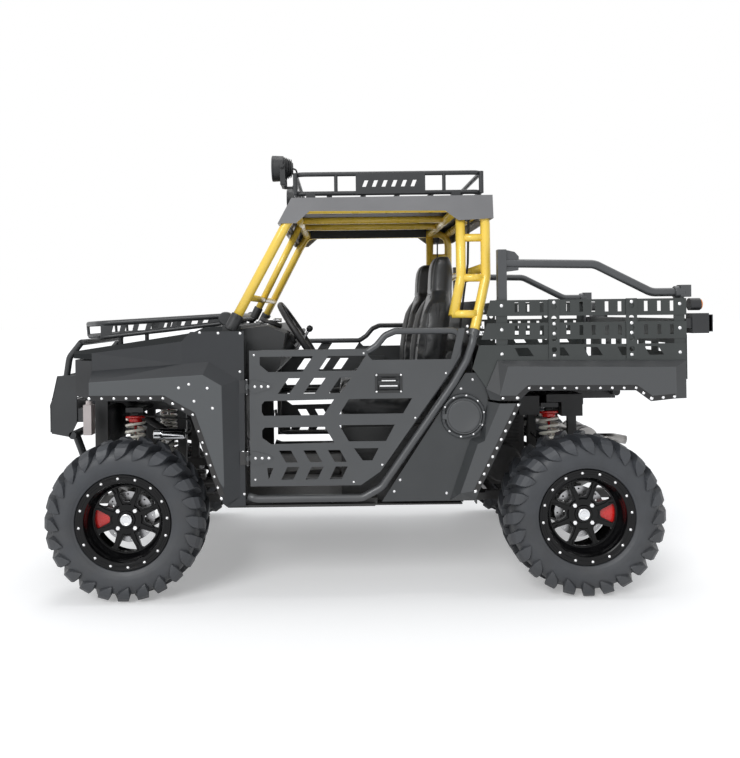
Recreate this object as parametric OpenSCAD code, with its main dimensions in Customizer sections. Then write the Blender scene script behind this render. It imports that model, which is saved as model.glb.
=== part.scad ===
// Side by side utility vehicle: two seats, roll cage, tipping cargo bed.
// Frame: Z up, front of the vehicle towards -Y, its left side towards +X.
// The origin is on the ground, under the middle of the overall length and width.

/* [Running gear] */
// Distance between the front and rear axles
wheelbase = 1920; // [1860:10:1980]
// Outer radius of every tyre
tyre_r = 334; // [322:2:340]
// Width of a front tyre
front_tyre_w = 230; // [200:5:240]
// Width of a rear tyre
rear_tyre_w = 262; // [240:2:266]
// Radius of the bead seat of the rim
bead_r = 178; // [176:1:180]
// Distance from the centre plane to a tyre's outer side wall
track_half = 750; // [745:1:755]

/* [Body] */
// Distance from the centre plane to the flat side panels
side_x = 700; // [696:1:704]
// Distance from the centre plane to the outer face of a wheel arch flare
flare_x = 735; // [730:1:740]
// Thickness of the folded sheet panels
sheet_t = 4; // [3:0.5:5]
// Height of the underside of the body
belly_z = 390; // [385:1:395]

/* [Cage and roof] */
// Diameter of the roll cage tube
cage_d = 42; // [38:1:45]
// Half the width of the cage under the roof
cage_x = 590; // [580:1:595]
// Height of the roof panel's top
roof_z = 1688; // [1685:1:1692]

/* [Cargo bed] */
// Height of the underside of the bed floor
bed_z = 855; // [852:1:858]
// Distance from the centre plane to the bed's side boards
board_x = 690; // [688:1:692]

/* [Hidden] */
$fn = 48;
SMALL_FN = 32;

// Axles
front_y = -1016;
rear_y = front_y + wheelbase;
front_tyre_x = track_half - front_tyre_w / 2;
rear_tyre_x = track_half - rear_tyre_w / 2;
rim_face_x = 738; // outer edge of every rim
rim_half = 103; // half the width of a front rim
rear_rim_half = 119; // half the width of a rear rim
disc_x = 628; // plane of the brake discs
disc_r = 108;
kingpin_x = 575; // steering axis of a front knuckle
arm_drop = 95; // ball joints lie this far above and below the hub
steer_arm = 80; // from the kingpin back to the tie rod's ball

// Doors
hinge_y = -500;
hinge_x = side_x + 10;
hinge_z = [590, 888]; // middle of the lower and the upper hinge
door_tube_d = 28;
hoop_d = 32;

// Fuel door
fuel_y = 403;
fuel_z = 754;
fuel_r = 76;
fuel_hinge_y = fuel_y - fuel_r - 9;

// Bed
bed_front = 480;
bed_rear = 1335;
bed_hinge_y = 1200;
bed_hinge_z = 800;
bed_half = 640; // half the width of the bed floor
gate_hinge_z = 878;
gate_hinge_y = 1352;

// Steering wheel
wheel_centre = [330, -297, 1095];
column_tilt = -57; // of the wheel's axis from the vertical, towards the seat
steer_r = 160;

// ---------------------------------------------------------------- helpers

// A copy on each side of the centre plane.
module both_sides() {
    children();
    mirror([1, 0, 0]) children();
}

// A plate from x to x + t whose outline is given in Y and Z.
module side_plate(x, t, outline) {
    translate([x, 0, 0]) rotate([90, 0, 90]) linear_extrude(t) polygon(outline);
}

// A round bar between two points.
module bar(p, q, d) {
    v = q - p;
    len = norm(v);
    translate(p) rotate([0, acos(v[2] / len), atan2(v[1], v[0])]) cylinder(h = len, d = d);
}

// A bent tube through a list of points, with a ball a little over its diameter in each bend.
module pipe(route, d) {
    for (i = [0 : len(route) - 2]) bar(route[i], route[i + 1], d);
    if (len(route) > 2)
        for (i = [1 : len(route) - 2]) translate(route[i]) sphere(d = d + 0.8, $fn = SMALL_FN);
}

// A block given by its low corner and its high corner.
module block(low, high) {
    translate(low) cube(high - low);
}

// A solid of revolution about the X axis, from an outline of [x, radius] points.
module turned_x(outline, fn = 96) {
    rotate([90, 0, 90]) rotate_extrude($fn = fn) polygon([for (p = outline) [p[1], p[0]]]);
}

// The edges of a face, as pairs of vertex numbers.
function face_edges(f) = [for (i = [0 : len(f) - 1]) [f[i], f[(i + 1) % len(f)]]];
function has_edge(edges, a, b) = len([for (e = edges) if (e[0] == a && e[1] == b) 1]) > 0;

// A folded sheet: corners [x, y, z] and faces seen from outside, thickened by t towards the centre plane.
module folded_sheet(corners, faces, t) {
    n = len(corners);
    // A face of four corners may be twisted, so it is split into two triangles.
    front = [for (f = faces) each len(f) == 4 ? [[f[0], f[1], f[2]], [f[0], f[2], f[3]]] : [f]];
    edges = [for (f = front) each face_edges(f)];
    back = [for (f = front) [for (i = [len(f) - 1 : -1 : 0]) f[i] + n]];
    walls = [for (e = edges) if (!has_edge(edges, e[1], e[0])) [e[1], e[0], e[0] + n, e[1] + n]];
    polyhedron(concat(corners, [for (c = corners) c - [t, 0, 0]]), concat(front, back, walls));
}

// ---------------------------------------------------------------- wheels

// A tyre about the X axis, its middle at x = 0: an outer profile and, inside it, the air space.
module tyre(width, rim_half) {
    half = width / 2;
    bead = rim_half - 9.3;
    outer = [[bead, bead_r + 0.4], [bead, bead_r + 21.8], [bead + 10, bead_r + 26], [half - 2, bead_r + 50],
        [half, bead_r + 78], [half - 4, tyre_r - 42], [half - 14, tyre_r - 18], [half - 34, tyre_r - 5],
        [half - 75, tyre_r]];
    inner = [[half - 80, tyre_r - 16], [half - 45, tyre_r - 20], [half - 27, tyre_r - 30],
        [half - 18, tyre_r - 48], [half - 14, bead_r + 78], [half - 16, bead_r + 50],
        [bead - 14, bead_r + 24], [bead - 14, bead_r + 0.4]];
    color([0.16, 0.17, 0.18]) difference() {
        turned_x(concat(outer, flip_x(outer)), 128);
        turned_x(concat(flip_x(inner), inner), 128);
        translate([-bead + 14, 0, 0]) rotate([0, 90, 0]) cylinder(h = 2 * bead - 28, r = bead_r + 5);
    }
}

// A profile's points mirrored in x = 0 and in reverse order.
function flip_x(points) = [for (i = [len(points) - 1 : -1 : 0]) [-points[i][0], points[i][1]]];

// The spoked face of a rim as a flat outline: eight windows between the hub and the barrel.
module rim_face_outline() {
    window = [[80, 0], [81, 11], [86, 17], [108, 33], [115, 34], [120, 28], [123, 14], [124, 0],
        [123, -14], [120, -28], [115, -34], [108, -33], [86, -17], [81, -11]];
    difference() {
        circle(r = 140, $fn = 96);
        for (i = [0 : 7]) rotate(i * 45) polygon(window);
    }
}

// A rim with its brake disc and stub axle, in vehicle X, about the hub's axis.
module rim(half) {
    inner = rim_face_x - 2 * half;
    color([0.05, 0.05, 0.055]) {
        turned_x([[rim_face_x, 172], [rim_face_x, 199], [rim_face_x - 9, 199],
            [rim_face_x - 9, bead_r], [inner + 9, bead_r], [inner + 9, 196], [inner, 196],
            [inner, 167], [rim_face_x - 9, 167]]);
        turned_x([[660, 136], [672, 136], [706, 168], [694, 168]]);
        translate([656, 0, 0]) rotate([90, 0, 90]) linear_extrude(16) rim_face_outline();
        translate([634, 0, 0]) rotate([0, 90, 0]) cylinder(h = 30, r = 56);
        translate([670, 0, 0]) rotate([0, 90, 0]) cylinder(h = 20, r = 30);
    }
    color([0.6, 0.6, 0.62]) {
        translate([disc_x - 3, 0, 0]) rotate([0, 90, 0]) cylinder(h = 6, r = disc_r);
        translate([560, 0, 0]) rotate([0, 90, 0]) cylinder(h = 76, r = 14);
        translate([disc_x + 2, 0, 0]) rotate([0, 90, 0]) cylinder(h = 8, r = 48);
    }
}

module at_axle(y) {
    translate([0, y, tyre_r]) children();
}

module caliper(towards) {
    color([0.75, 0.06, 0.05]) rotate([towards, 0, 0]) difference() {
        block([disc_x - 22, 78, -42], [disc_x + 22, 148, 42]);
        block([disc_x - 8, 70, -60], [disc_x + 8, 116, 60]);
    }
}

// ---------------------------------------------------------------- suspension

// A knuckle in vehicle X about the hub's axis: bearing housing, upright and caliper lugs.
module knuckle(caliper_side) {
    color([0.22, 0.22, 0.23]) difference() {
        union() {
            translate([548, 0, 0]) rotate([0, 90, 0]) cylinder(h = 62, r = 44);
            translate([kingpin_x, 0, -arm_drop + 16]) cylinder(h = 2 * arm_drop - 32, r = 20);
            translate([kingpin_x, 0, -arm_drop - 9]) cylinder(h = 2 * arm_drop + 18, r = 7);
            block([596, caliper_side > 0 ? 30 : -92, -24], [606, caliper_side > 0 ? 92 : -30, 24]);
            block([596, caliper_side > 0 ? 84 : -100, -24], [606, caliper_side > 0 ? 100 : -84, 24]);
        }
        translate([540, 0, 0]) rotate([0, 90, 0]) cylinder(h = 80, r = 14.05);
    }
}

// The arm of a front knuckle that the tie rod turns.
module steering_arm() {
    color([0.22, 0.22, 0.23]) {
        block([kingpin_x - 11, 15, 24], [kingpin_x + 11, steer_arm, 34]);
        translate([kingpin_x, steer_arm, 24]) cylinder(h = 10, r = 14);
    }
}

// One wishbone: two legs from the frame to a boss on the kingpin.
module wishbone(y, boss_z, frame_z, spread, inboard) {
    difference() {
        union() {
            for (s = [-1, 1]) {
                bar([inboard, y + s * spread, frame_z], [kingpin_x - 8, y, boss_z], 26);
                translate([inboard, y + s * spread - 24, frame_z]) rotate([-90, 0, 0]) cylinder(h = 48, r = 19);
            }
            translate([kingpin_x, y, boss_z - 11]) cylinder(h = 22, r = 22);
        }
        translate([kingpin_x, y, boss_z - 20]) cylinder(h = 40, r = 7.05);
    }
}

module suspension_arms() {
    color([0.12, 0.12, 0.13]) both_sides() for (y = [front_y, rear_y]) {
        wishbone(y, tyre_r - arm_drop, 262, 118, 190);
        wishbone(y, tyre_r + arm_drop, 420, 230, y < 0 ? 208 : 232);
        // Cross bar and clevis that carry the shock's foot
        block([374, shock_y(y) - 20, 252], [410, shock_y(y) + 20, 288]);
        bar([392, y - 62, 250], [392, y + 55, 250], 22);
    }
}

// Axis of a shock absorber: from its foot on the lower arm to its head on the frame.
// The shocks stand just ahead of the half shafts.
function shock_y(y) = y + (y < 0 ? -44 : -55);
function shock_foot(y) = [392, shock_y(y), 292];
function shock_head(y) = [340, shock_y(y), 742];
function along(p, q, t) = p + (q - p) * t;

module shock_absorbers() {
    color([0.25, 0.25, 0.26]) both_sides() for (y = [front_y, rear_y]) {
        foot = shock_foot(y);
        head = shock_head(y);
        bar(foot, head, 24);
        bar(along(foot, head, 0.05), along(foot, head, 0.5), 48);
        bar(along(foot, head, 0.25), along(foot, head, 0.275), 96);
        bar(along(foot, head, 0.94), along(foot, head, 0.965), 92);
    }
}

module coil_springs() {
    color([0.86, 0.84, 0.78]) both_sides() for (y = [front_y, rear_y]) {
        foot = shock_foot(y);
        head = shock_head(y);
        difference() {
            bar(along(foot, head, 0.276), along(foot, head, 0.939), 94);
            bar(along(foot, head, 0.26), along(foot, head, 0.96), 66);
        }
    }
}

module half_shafts() {
    color([0.3, 0.3, 0.31]) both_sides() for (y = [front_y, rear_y]) translate([0, y, tyre_r]) rotate([0, 90, 0]) {
        translate([0, 0, 116]) cylinder(h = 386, r = 8.6);
        translate([0, 0, 188]) cylinder(h = 62, r1 = 34, r2 = 16);
        translate([0, 0, 440]) cylinder(h = 62, r1 = 17, r2 = 32);
    }
}

module differentials() {
    color([0.4, 0.4, 0.42]) for (y = [front_y, rear_y]) translate([0, y, tyre_r]) {
        rotate([0, 90, 0]) translate([0, 0, -115]) cylinder(h = 230, r = 62);
        translate([0, 0, -20]) block([-52, y < 0 ? 0 : -150, -30], [52, y < 0 ? 150 : 0, 42]);
    }
}

module driveline() {
    half_shafts();
    differentials();
}

module tie_rods() {
    z = tyre_r + 24 + 10 + 3;
    y = front_y + steer_arm;
    color([0.5, 0.5, 0.52]) {
        bar([-kingpin_x + 14, y, z + 10], [kingpin_x - 14, y, z + 10], 15);
        bar([-250, y, z + 10], [250, y, z + 10], 34);
        both_sides() translate([kingpin_x, y, z]) cylinder(h = 20, r = 14);
    }
}

// ---------------------------------------------------------------- chassis

// The ladder under the body, with the outriggers that carry the floor.
module frame() {
    rail = 40;
    color([0.1, 0.1, 0.11]) difference() {
        union() {
            both_sides() {
                block([145, -1290, 285], [145 + rail, 1290, 285 + rail]);
                for (y = [-560, -290, -20, 250, 500]) {
                    block([145, y, 340], [430, y + 40, 372]);
                    block([150, y, 320], [180, y + 40, 345]);
                }
            }
            for (y = [-1250, -1130, -740, -470, -200, 70, 340, 600, 1000, 1240])
                block([-150, y, 290], [150, y + 40, 320]);
            for (y = [-560, -290, -20, 250, 500])
                block([-150, y, 340], [150, y + 40, 372]);
            block([-32, 1200, 300], [32, 1372, 363]);
        }
        // Hitch receiver: the socket and the hole for its pin
        block([-25.5, 1300, 306.5], [25.5, 1390, 357.5]);
        translate([-60, 1340, 332]) rotate([0, 90, 0]) cylinder(h = 120, r = 8);
    }
}

// Posts and rails around the front suspension and the cooler.
module front_frame() {
    color([0.1, 0.1, 0.11]) {
        both_sides() {
            for (y = [-1130, -900]) block([150, y, 325.3], [180, y + 40, 760]);
            block([150, -1290, 325.3], [180, -1250, 900]);
            block([145, -1270, 400], [185, -770, 440]);
            block([150, -1130, 735], [180, -628, 775]);
            block([150, -1290, 815], [180, -1100, 845]);
            block([150, -1130, 775], [180, -1100, 845]);
            block([150, shock_y(front_y) - 40, 745], [366, shock_y(front_y) + 40, 766]);
        }
        block([-150, -1290, 860], [150, -1260, 900]);
        block([-150, -1130, 735], [150, -1100, 765]);
    }
}

// Posts and rails around the engine and the rear suspension, with the bores of the bed's hinge.
module rear_frame() {
    color([0.1, 0.1, 0.11]) difference() {
        union() {
            both_sides() {
                for (y = [790, 985]) block([150, y, 325.3], [180, y + 40, 760]);
                block([145, 790, 400], [185, 1290, 440]);
                block([150, 700, 735], [180, 1060, 765]);
                block([150, shock_y(rear_y) - 40, 745], [366, shock_y(rear_y) + 40, 766]);
                block([150, 500, 372.3], [180, 540, 800]);
                block([150, 500, 770], [180, 830, 800]);
                translate([150, bed_hinge_y, bed_hinge_z]) rotate([0, 90, 0]) cylinder(h = 26, r = 22);
                block([150, 1010, 764], [176, 1216, 800]);
            }
            block([-180, 1000, 700], [180, 1025, 735]);
        }
        translate([-700, bed_hinge_y, bed_hinge_z]) rotate([0, 90, 0]) cylinder(h = 1400, r = 8.05);
    }
}

module upper_frames() {
    front_frame();
    rear_frame();
}

module radiator() {
    color([0.08, 0.08, 0.085]) {
        block([-330, -1245, 590], [330, -1195, 805]);
        translate([0, -1196, 698]) rotate([-90, 0, 0]) cylinder(h = 50, r = 96);
    }
}

// Header bottle beside the cooler, on the left.
module coolant_bottle() {
    color([0.72, 0.68, 0.68]) {
        block([395, -1268, 655], [450, -1232, 790]);
        translate([422, -1250, 789]) cylinder(h = 18, r = 14);
    }
}

module floor_pan() {
    color([0.08, 0.08, 0.085]) {
        block([-655, -596, 376], [655, 400, 382]);
        both_sides() block([600, -593, belly_z - 8], [655, 40, 408]);
        both_sides() block([655, -590, 378], [678, 30, 388]);
    }
}

module footwell() {
    color([0.07, 0.07, 0.075]) {
        side_plate(-655, 1310, [[-600, 383], [-594, 383], [-594, 690], [-640, 880], [-646, 880], [-600, 690]]);
        both_sides() side_plate(640, 4, [[-604, 409], [-510, 409], [-510, 1100], [-700, 1100], [-690, 880], [-650, 880]]);
    }
}

module seat_base() {
    color([0.09, 0.09, 0.095]) {
        difference() {
            block([-600, -110, 383], [600, 395, 700]);
            block([-590, -100, 360], [590, 385, 690]);
        }
        both_sides() for (z = [500, 560, 620]) block([600, -90, z], [606, 330, z + 22]);
    }
}

module bulkhead() {
    color([0.08, 0.08, 0.085]) {
        side_plate(-640, 1280, [[400, 383], [406, 383], [452, 930], [452, 1040], [446, 1040], [446, 932]]);
    }
}

module cabin_walls() {
    footwell();
    bulkhead();
}

// ---------------------------------------------------------------- front body

module hood() {
    roof_line = [[-1240, 1012], [-1238, 1042], [-810, 1104], [-745, 1114], [-696, 1136], [-540, 1142]];
    color([0.06, 0.065, 0.07]) {
        difference() {
            side_plate(-646, 1292, concat(roof_line, [[-540, 1080], [-700, 1078], [-1150, 1005]]));
            // The sides slope in, and the underside is open.
            both_sides() translate([646, 0, 1034]) rotate([0, -32, 0]) block([-2, -1300, -60], [120, -500, 260]);
            side_plate(-560, 1120, [[-1225, 900], [-1225, 1030], [-810, 1090], [-745, 1100], [-696, 1122], [-545, 1128], [-545, 900]]);
        }
    }
}

module front_fascia() {
    color([0.07, 0.07, 0.075]) {
        difference() {
            block([-640, -1236, 852], [640, -1212, 1006]);
            both_sides() block([400, -1260, 880], [600, -1200, 975]);
            for (x = [-330 : 60 : 290]) block([x, -1260, 890], [x + 40, -1200, 980]);
        }
        both_sides() side_plate(636, 5, [[-1236, 852], [-1166, 840], [-1166, 1000], [-1236, 1004]]);
    }
}

module headlights() {
    color([0.75, 0.8, 0.9]) both_sides() difference() {
        block([404, -1244, 884], [596, -1190, 971]);
        block([412, -1200, 892], [588, -1180, 963]);
    }
}

// The left front fender: flat door-side panel, flare with chamfers, and the turned-in arch edge.
module front_fender() {
    corners = [
        [flare_x, -1150, 914], [flare_x, -680, 940], [flare_x, -604, 895], [flare_x, -598, 488], // 0-3 outer face
        [flare_x, -1150, 862], [flare_x, -838, 860], [flare_x, -712, 787], [flare_x, -687, 708],
        [flare_x, -624, 520], // 4-8 inner line of the arch strip
        [flare_x - 9, -1150, 838], [flare_x - 9, -848, 836], [flare_x - 9, -730, 770],
        [flare_x - 9, -708, 710], [flare_x - 9, -646, 522], [flare_x - 9, -600, 405], // 9-14 arch edge
        [side_x - 45, -1161, 958], [side_x, -659, 995], [side_x, -536, 917], [side_x, -533, 428], // 15-18 fold
        [side_x, -512, belly_z], [side_x + 8, -590, belly_z], // 19-20 lower edge
        [side_x - 50, -1163, 1033], [side_x, -772, 1080], [side_x, -735, 1120],
        [side_x, -512, 1120], [side_x, -773, 986]]; // 21-25 upper edge and the fold below it
    faces = [[0, 1, 5, 4], [1, 2, 6, 5], [2, 7, 6], [2, 3, 8, 7], [4, 5, 10, 9], [5, 6, 11, 10], [6, 7, 12, 11], [7, 8, 13, 12],
        [8, 3, 14, 13], [15, 25, 0], [25, 1, 0], [25, 16, 1], [16, 17, 2, 1], [17, 18, 3, 2],
        [18, 14, 3], [18, 20, 14], [25, 22, 23, 24, 16], [24, 17, 16], [24, 19, 18, 17], [18, 19, 20], [21, 22, 25], [21, 25, 15]];
    color([0.27, 0.28, 0.29]) folded_sheet(corners, faces, sheet_t);
}

// The body's half of a hinge: leaf, two outer barrels and the pin.
module body_hinge(z) {
    side_plate(side_x + 0.1, 4, [for (p = [[-32, -27], [-9, -27], [-9, 27], [-32, 27]]) [hinge_y + p[0], z + p[1]]]);
    translate([hinge_x, hinge_y, z]) {
        for (b = [-29, 10]) {
            translate([0, 0, b]) cylinder(h = 19, r = 7);
            translate([-9.8, -8, b]) cube([8, 8, 19]);
        }
        translate([0, 0, -29]) cylinder(h = 58, r = 3.45);
    }
}

// The door's half of a hinge: a long strap and the middle barrel.
module door_hinge(z) {
    strap = [[9, -9], [20, -27], [36, -27], [92, -12], [106, 0], [92, 12], [36, 27], [20, 27], [9, 9]];
    side_plate(side_x + sheet_t, 3, [for (p = strap) [hinge_y + p[0], z + p[1]]]);
    translate([hinge_x, hinge_y, z]) difference() {
        union() {
            translate([0, 0, -9]) cylinder(h = 18, r = 7);
            translate([-6, 0, -9]) cube([4, 12, 18]);
        }
        translate([0, 0, -20]) cylinder(h = 40, r = 3.5);
    }
}

module front_fenders() {
    both_sides() front_fender();
}

module door_hinges() {
    color([0.1, 0.1, 0.11]) both_sides() for (z = hinge_z) body_hinge(z);
}

module front_bumper() {
    color([0.12, 0.12, 0.125]) {
        both_sides() {
            side_plate(340, 8, [[-1420, 915], [-1446, 803], [-1455, 780], [-1448, 649], [-1364, 632], [-1330, 700], [-1330, 919]]);
            block([152, -1332, 700], [340, -1290, 760]);
            bar([300, -1352, 640], [210, -1275, 330], 36);
            pipe([[330, -1382, 905], [330, -1367, 1000], [330, -1312, 1068]], 30);
        }
        difference() {
            side_plate(-348, 696, [[-1420, 915], [-1446, 803], [-1455, 780], [-1448, 649], [-1364, 632],
                [-1366, 640], [-1440, 655], [-1447, 779], [-1438, 802], [-1412, 915]]);
            block([-190, -1500, 700], [190, -1400, 790]);
        }
        bar([-330, -1312, 1068], [330, -1312, 1068], 29);
        bar([-348, -1352, 640], [348, -1352, 640], 36);
    }
}

module winch() {
    color([0.25, 0.25, 0.26]) {
        translate([-170, -1380, 745]) rotate([0, 90, 0]) cylinder(h = 110, r = 38);
        translate([60, -1380, 745]) rotate([0, 90, 0]) cylinder(h = 110, r = 42);
        translate([-60, -1380, 745]) rotate([0, 90, 0]) cylinder(h = 120, r = 28);
    }
}

module front_rack() {
    top = [[0, -1280, 1152], [330, -1280, 1152], [470, -1180, 1157], [470, -640, 1183]];
    low = [[0, -1276, 1098], [330, -1276, 1098], [470, -1176, 1094], [470, -640, 1150]];
    color([0.13, 0.13, 0.14]) {
        both_sides() {
            pipe(top, 24);
            pipe(low, 20);
            side_plate(468, 4, [[-1178, 1096], [-640, 1152], [-640, 1180], [-1178, 1156]]);
            bar([470, -640, 1140], [470, -640, 1190], 26);
            bar([250, -1200, 1046], [250, -1200, 1100], 24);
            bar([420, -640, 1125], [420, -640, 1160], 24);
        }
        for (y = [-1200, -1080, -960, -840, -720]) block([-470, y - 12, 1094 + (y + 1200) * 0.11], [470, y + 12, 1100 + (y + 1200) * 0.11]);
        bar([-520, -614, 1172], [520, -614, 1172], 44);
        bar([-470, -640, 1172], [470, -640, 1172], 22);
    }
}

// ---------------------------------------------------------------- cabin

module dashboard() {
    color([0.07, 0.07, 0.075]) difference() {
        side_plate(-600, 1200, [[-538, 1060], [-538, 1128], [-420, 1140], [-345, 1105], [-372, 960], [-440, 890], [-538, 890]]);
        side_plate(-560, 500, [[-400, 975], [-400, 1060], [-330, 1060], [-330, 975]]);
        // Hole for the steering column
        translate(wheel_centre) rotate([column_tilt, 0, 0]) translate([0, 0, -320]) cylinder(h = 400, r = 48);
    }
}

module steering_column() {
    color([0.1, 0.1, 0.11]) translate(wheel_centre) rotate([column_tilt, 0, 0]) difference() {
        union() {
            translate([0, 0, -210]) cylinder(h = 178, r = 26);
            translate([0, 0, -120]) cylinder(h = 70, r = 44);
        }
        translate([0, 0, -75]) cylinder(h = 50, r = 9.05);
    }
}

module steering_wheel() {
    color([0.05, 0.05, 0.055]) translate(wheel_centre) rotate([column_tilt, 0, 0]) {
        rotate_extrude($fn = 96) translate([steer_r, 0]) circle(r = 15, $fn = SMALL_FN);
        for (a = [90, 210, 330]) rotate(a) translate([20, -14, -12]) cube([steer_r - 22, 28, 9]);
        translate([0, 0, -24]) cylinder(h = 30, r = 46);
        translate([0, 0, -70]) cylinder(h = 50, r = 9);
    }
}

// A bucket seat: cushion, back with a narrow head part, drawn about x = 0.
module seat() {
    color([0.05, 0.05, 0.055]) {
        side_plate(-235, 470, [[-120, 745], [-135, 800], [-110, 850], [0, 850], [215, 815], [245, 760], [245, 712], [-90, 712]]);
        side_plate(-235, 470, [[248, 790], [222, 860], [262, 1060], [300, 1260], [330, 1284], [395, 1284], [405, 1240], [375, 1040], [345, 790]]);
        side_plate(-120, 240, [[318, 1284.3], [322, 1430], [345, 1458], [385, 1455], [400, 1425], [394, 1284.3]]);
        block([-180, -60, 700.3], [180, 230, 711.7]);
    }
}

module roll_cage() {
    rail_z = 1640;
    small_d = 34;
    color([0.93, 0.66, 0.08]) {
        both_sides() {
            pipe([[648, -562, 1150], [cage_x + 10, -338, 1570], [cage_x, -300, rail_z], [cage_x, 520, rail_z],
                [cage_x + 14, 519, 1337], [652, 466, 1138], [668, 452, 1092]], cage_d);
            pipe([[cage_x, 414, rail_z], [cage_x + 14, 413, 1337], [640, 372, 1172]], cage_d);
            bar([642, 368, 1180], [650, 470, 1180], small_d);
            bar([606, 413, 1335], [606, 519, 1335], small_d);
            bar([594, 413, 1508], [594, 519, 1508], small_d);
        }
        bar([-cage_x, -300, rail_z], [cage_x, -300, rail_z], cage_d - 2);
        bar([-cage_x, 414, rail_z], [cage_x, 414, rail_z], cage_d - 2);
        bar([-cage_x, 520, rail_z], [cage_x, 520, rail_z], cage_d - 2);
        bar([-cage_x, 519, 1380], [cage_x, 519, 1380], cage_d - 2);
        bar([0, -536, 1190], [0, -305, rail_z], small_d);
        both_sides() bar([150, -300, rail_z], [150, 414, rail_z], small_d);
        bar([-cage_x - 20, -500, 1262], [cage_x + 20, -500, 1262], small_d - 4);
    }
}

module roof() {
    outer = [[-311, roof_z - 3], [549, roof_z], [552, 1588], [403, 1581], [346, 1623], [-233, 1628], [-292, 1577], [-371, 1576]];
    color([0.3, 0.3, 0.31]) {
        both_sides() side_plate(620, 4, outer);
        side_plate(-622, 1244, [[-311, roof_z - 3], [549, roof_z], [549, roof_z - 5], [-310, roof_z - 8]]);
        side_plate(-622, 1244, [[-311, roof_z - 3], [-371, 1576], [-366, 1575], [-306, roof_z - 4]]);
        side_plate(-622, 1244, [[549, roof_z], [552, 1588], [548, 1588], [545, roof_z - 1]]);
    }
}

module roof_rack() {
    low_z = 1711;
    top_z = 1795;
    rail = [[560, -296], [560, 512], [-560, 512], [-560, -296]];
    color([0.12, 0.12, 0.13]) {
        for (z = [low_z, top_z]) for (i = [0 : 3])
            bar([rail[i][0], rail[i][1], z], [rail[(i + 1) % 4][0], rail[(i + 1) % 4][1], z], 20);
        for (p = rail) bar([p[0], p[1], low_z - 6], [p[0], p[1], top_z + 6], 21);
        for (y = [-150, 0, 150, 300, 430]) block([-560, y - 12, low_z - 3], [560, y + 12, low_z + 3]);
        both_sides() {
            difference() {
                side_plate(566, 4, [[-34, 1706], [268, 1706], [268, 1797], [-34, 1797]]);
                for (i = [0 : 5]) side_plate(560, 20, [for (p = [[0, 0], [16, 0], [27, 28], [11, 28]]) [-6 + i * 42 + p[0], 1737 + p[1]]]);
            }
            for (y = [-230, 400]) block([540, y - 20, roof_z + 0.5], [575, y + 20, low_z]);
        }
    }
}

module roof_lamps() {
    color([0.09, 0.09, 0.1]) both_sides() {
        translate([480, -356, 1836]) rotate([90, 0, 0]) {
            translate([0, 0, -6]) cylinder(h = 50, r = 57);
            translate([0, 0, -46]) cylinder(h = 40, r1 = 30, r2 = 56);
        }
        block([425, -360, 1756], [535, -340, 1762]);
        block([422, -362, 1756], [428, -338, 1836]);
        block([532, -362, 1756], [538, -338, 1836]);
        block([470, -350, 1745], [490, -306, 1757]);
    }
}

// ---------------------------------------------------------------- sides

module side_hoops() {
    color([0.3, 0.31, 0.32]) both_sides() {
        pipe([[690, -503, 428], [690, -470, 416], [690, -23, 417], [690, 57, 460], [690, 362, 890],
            [690, 418, 985], [690, 448, 1070], [674, 451, 1096]], hoop_d);
        for (y = [-400, -150]) bar([664, y, 401], [690, y, 412], 22);
    }
}

// The left rear quarter: flat panel behind the door and the front half of the wheel arch flare.
module rear_panel() {
    outer_x = flare_x - 5;
    panel_x = board_x - 6; // clear of the tilting bed's boards
    corners = [
        [panel_x, 58, 398], [panel_x, 414, 933], [panel_x, 508, 933], [panel_x, 506, 812],
        [panel_x, 472, 670], [panel_x, 431, 655], [panel_x, 341, 398], // 0-6 flat panel
        [outer_x, 550, 808], [outer_x, 614, 808], [outer_x, 430, 447], [outer_x, 382, 440],
        [outer_x, 455, 641], [outer_x, 485, 655], // 7-12 outer face
        [outer_x - 9, 640, 808], [outer_x - 9, 456, 436], [panel_x, 448, 398]]; // 13-15 arch edge, foot
    faces = [[0, 1, 5, 6], [1, 2, 3, 4, 5], [3, 7, 12, 4], [4, 12, 11, 5], [5, 11, 10, 6], [7, 8, 9, 12],
        [9, 10, 11, 12], [8, 13, 14, 9], [6, 10, 15], [10, 9, 15], [9, 14, 15]];
    color([0.25, 0.26, 0.27]) folded_sheet(corners, faces, sheet_t);
}

module rear_panels() {
    color([0.25, 0.26, 0.27]) {
        difference() {
            union() {
                rear_panel();
                translate([board_x - 26, fuel_y, fuel_z]) rotate([0, 90, 0]) cylinder(h = 30, r = fuel_r + 6);
            }
            translate([board_x - 22, fuel_y, fuel_z]) rotate([0, 90, 0]) cylinder(h = 60, r = fuel_r - 16);
        }
        // Ears and pin of the fuel door's hinge
        for (z = [-24, 12]) translate([board_x - 2, fuel_hinge_y - 5, fuel_z + z]) cube([20, 10, 12]);
        translate([board_x + 13, fuel_hinge_y, fuel_z - 24]) cylinder(h = 48, r = 1.95);
        mirror([1, 0, 0]) rear_panel();
        both_sides() block([640, 452, 383], [board_x - 11, 458, 846]);
    }
}

module fuel_flap() {
    color([0.36, 0.36, 0.37]) difference() {
        union() {
            translate([board_x + 5, fuel_y, fuel_z]) rotate([0, 90, 0]) cylinder(h = 12, r = fuel_r - 2);
            translate([board_x + 9, fuel_hinge_y, fuel_z - 11]) cube([8, 14, 22]);
            translate([board_x + 13, fuel_hinge_y, fuel_z - 11]) cylinder(h = 22, r = 5);
        }
        translate([board_x + 13, fuel_hinge_y, fuel_z - 40]) cylinder(h = 80, r = 2);
    }
}

// ---------------------------------------------------------------- doors

door_edge = [[-490, 1038], [-490, 472], [-30, 472], [52, 528], [352, 950], [396, 1050], [412, 1121],
    [385, 1121], [352, 993], [24, 993], [8, 1010], [-2, 1038]];

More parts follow.
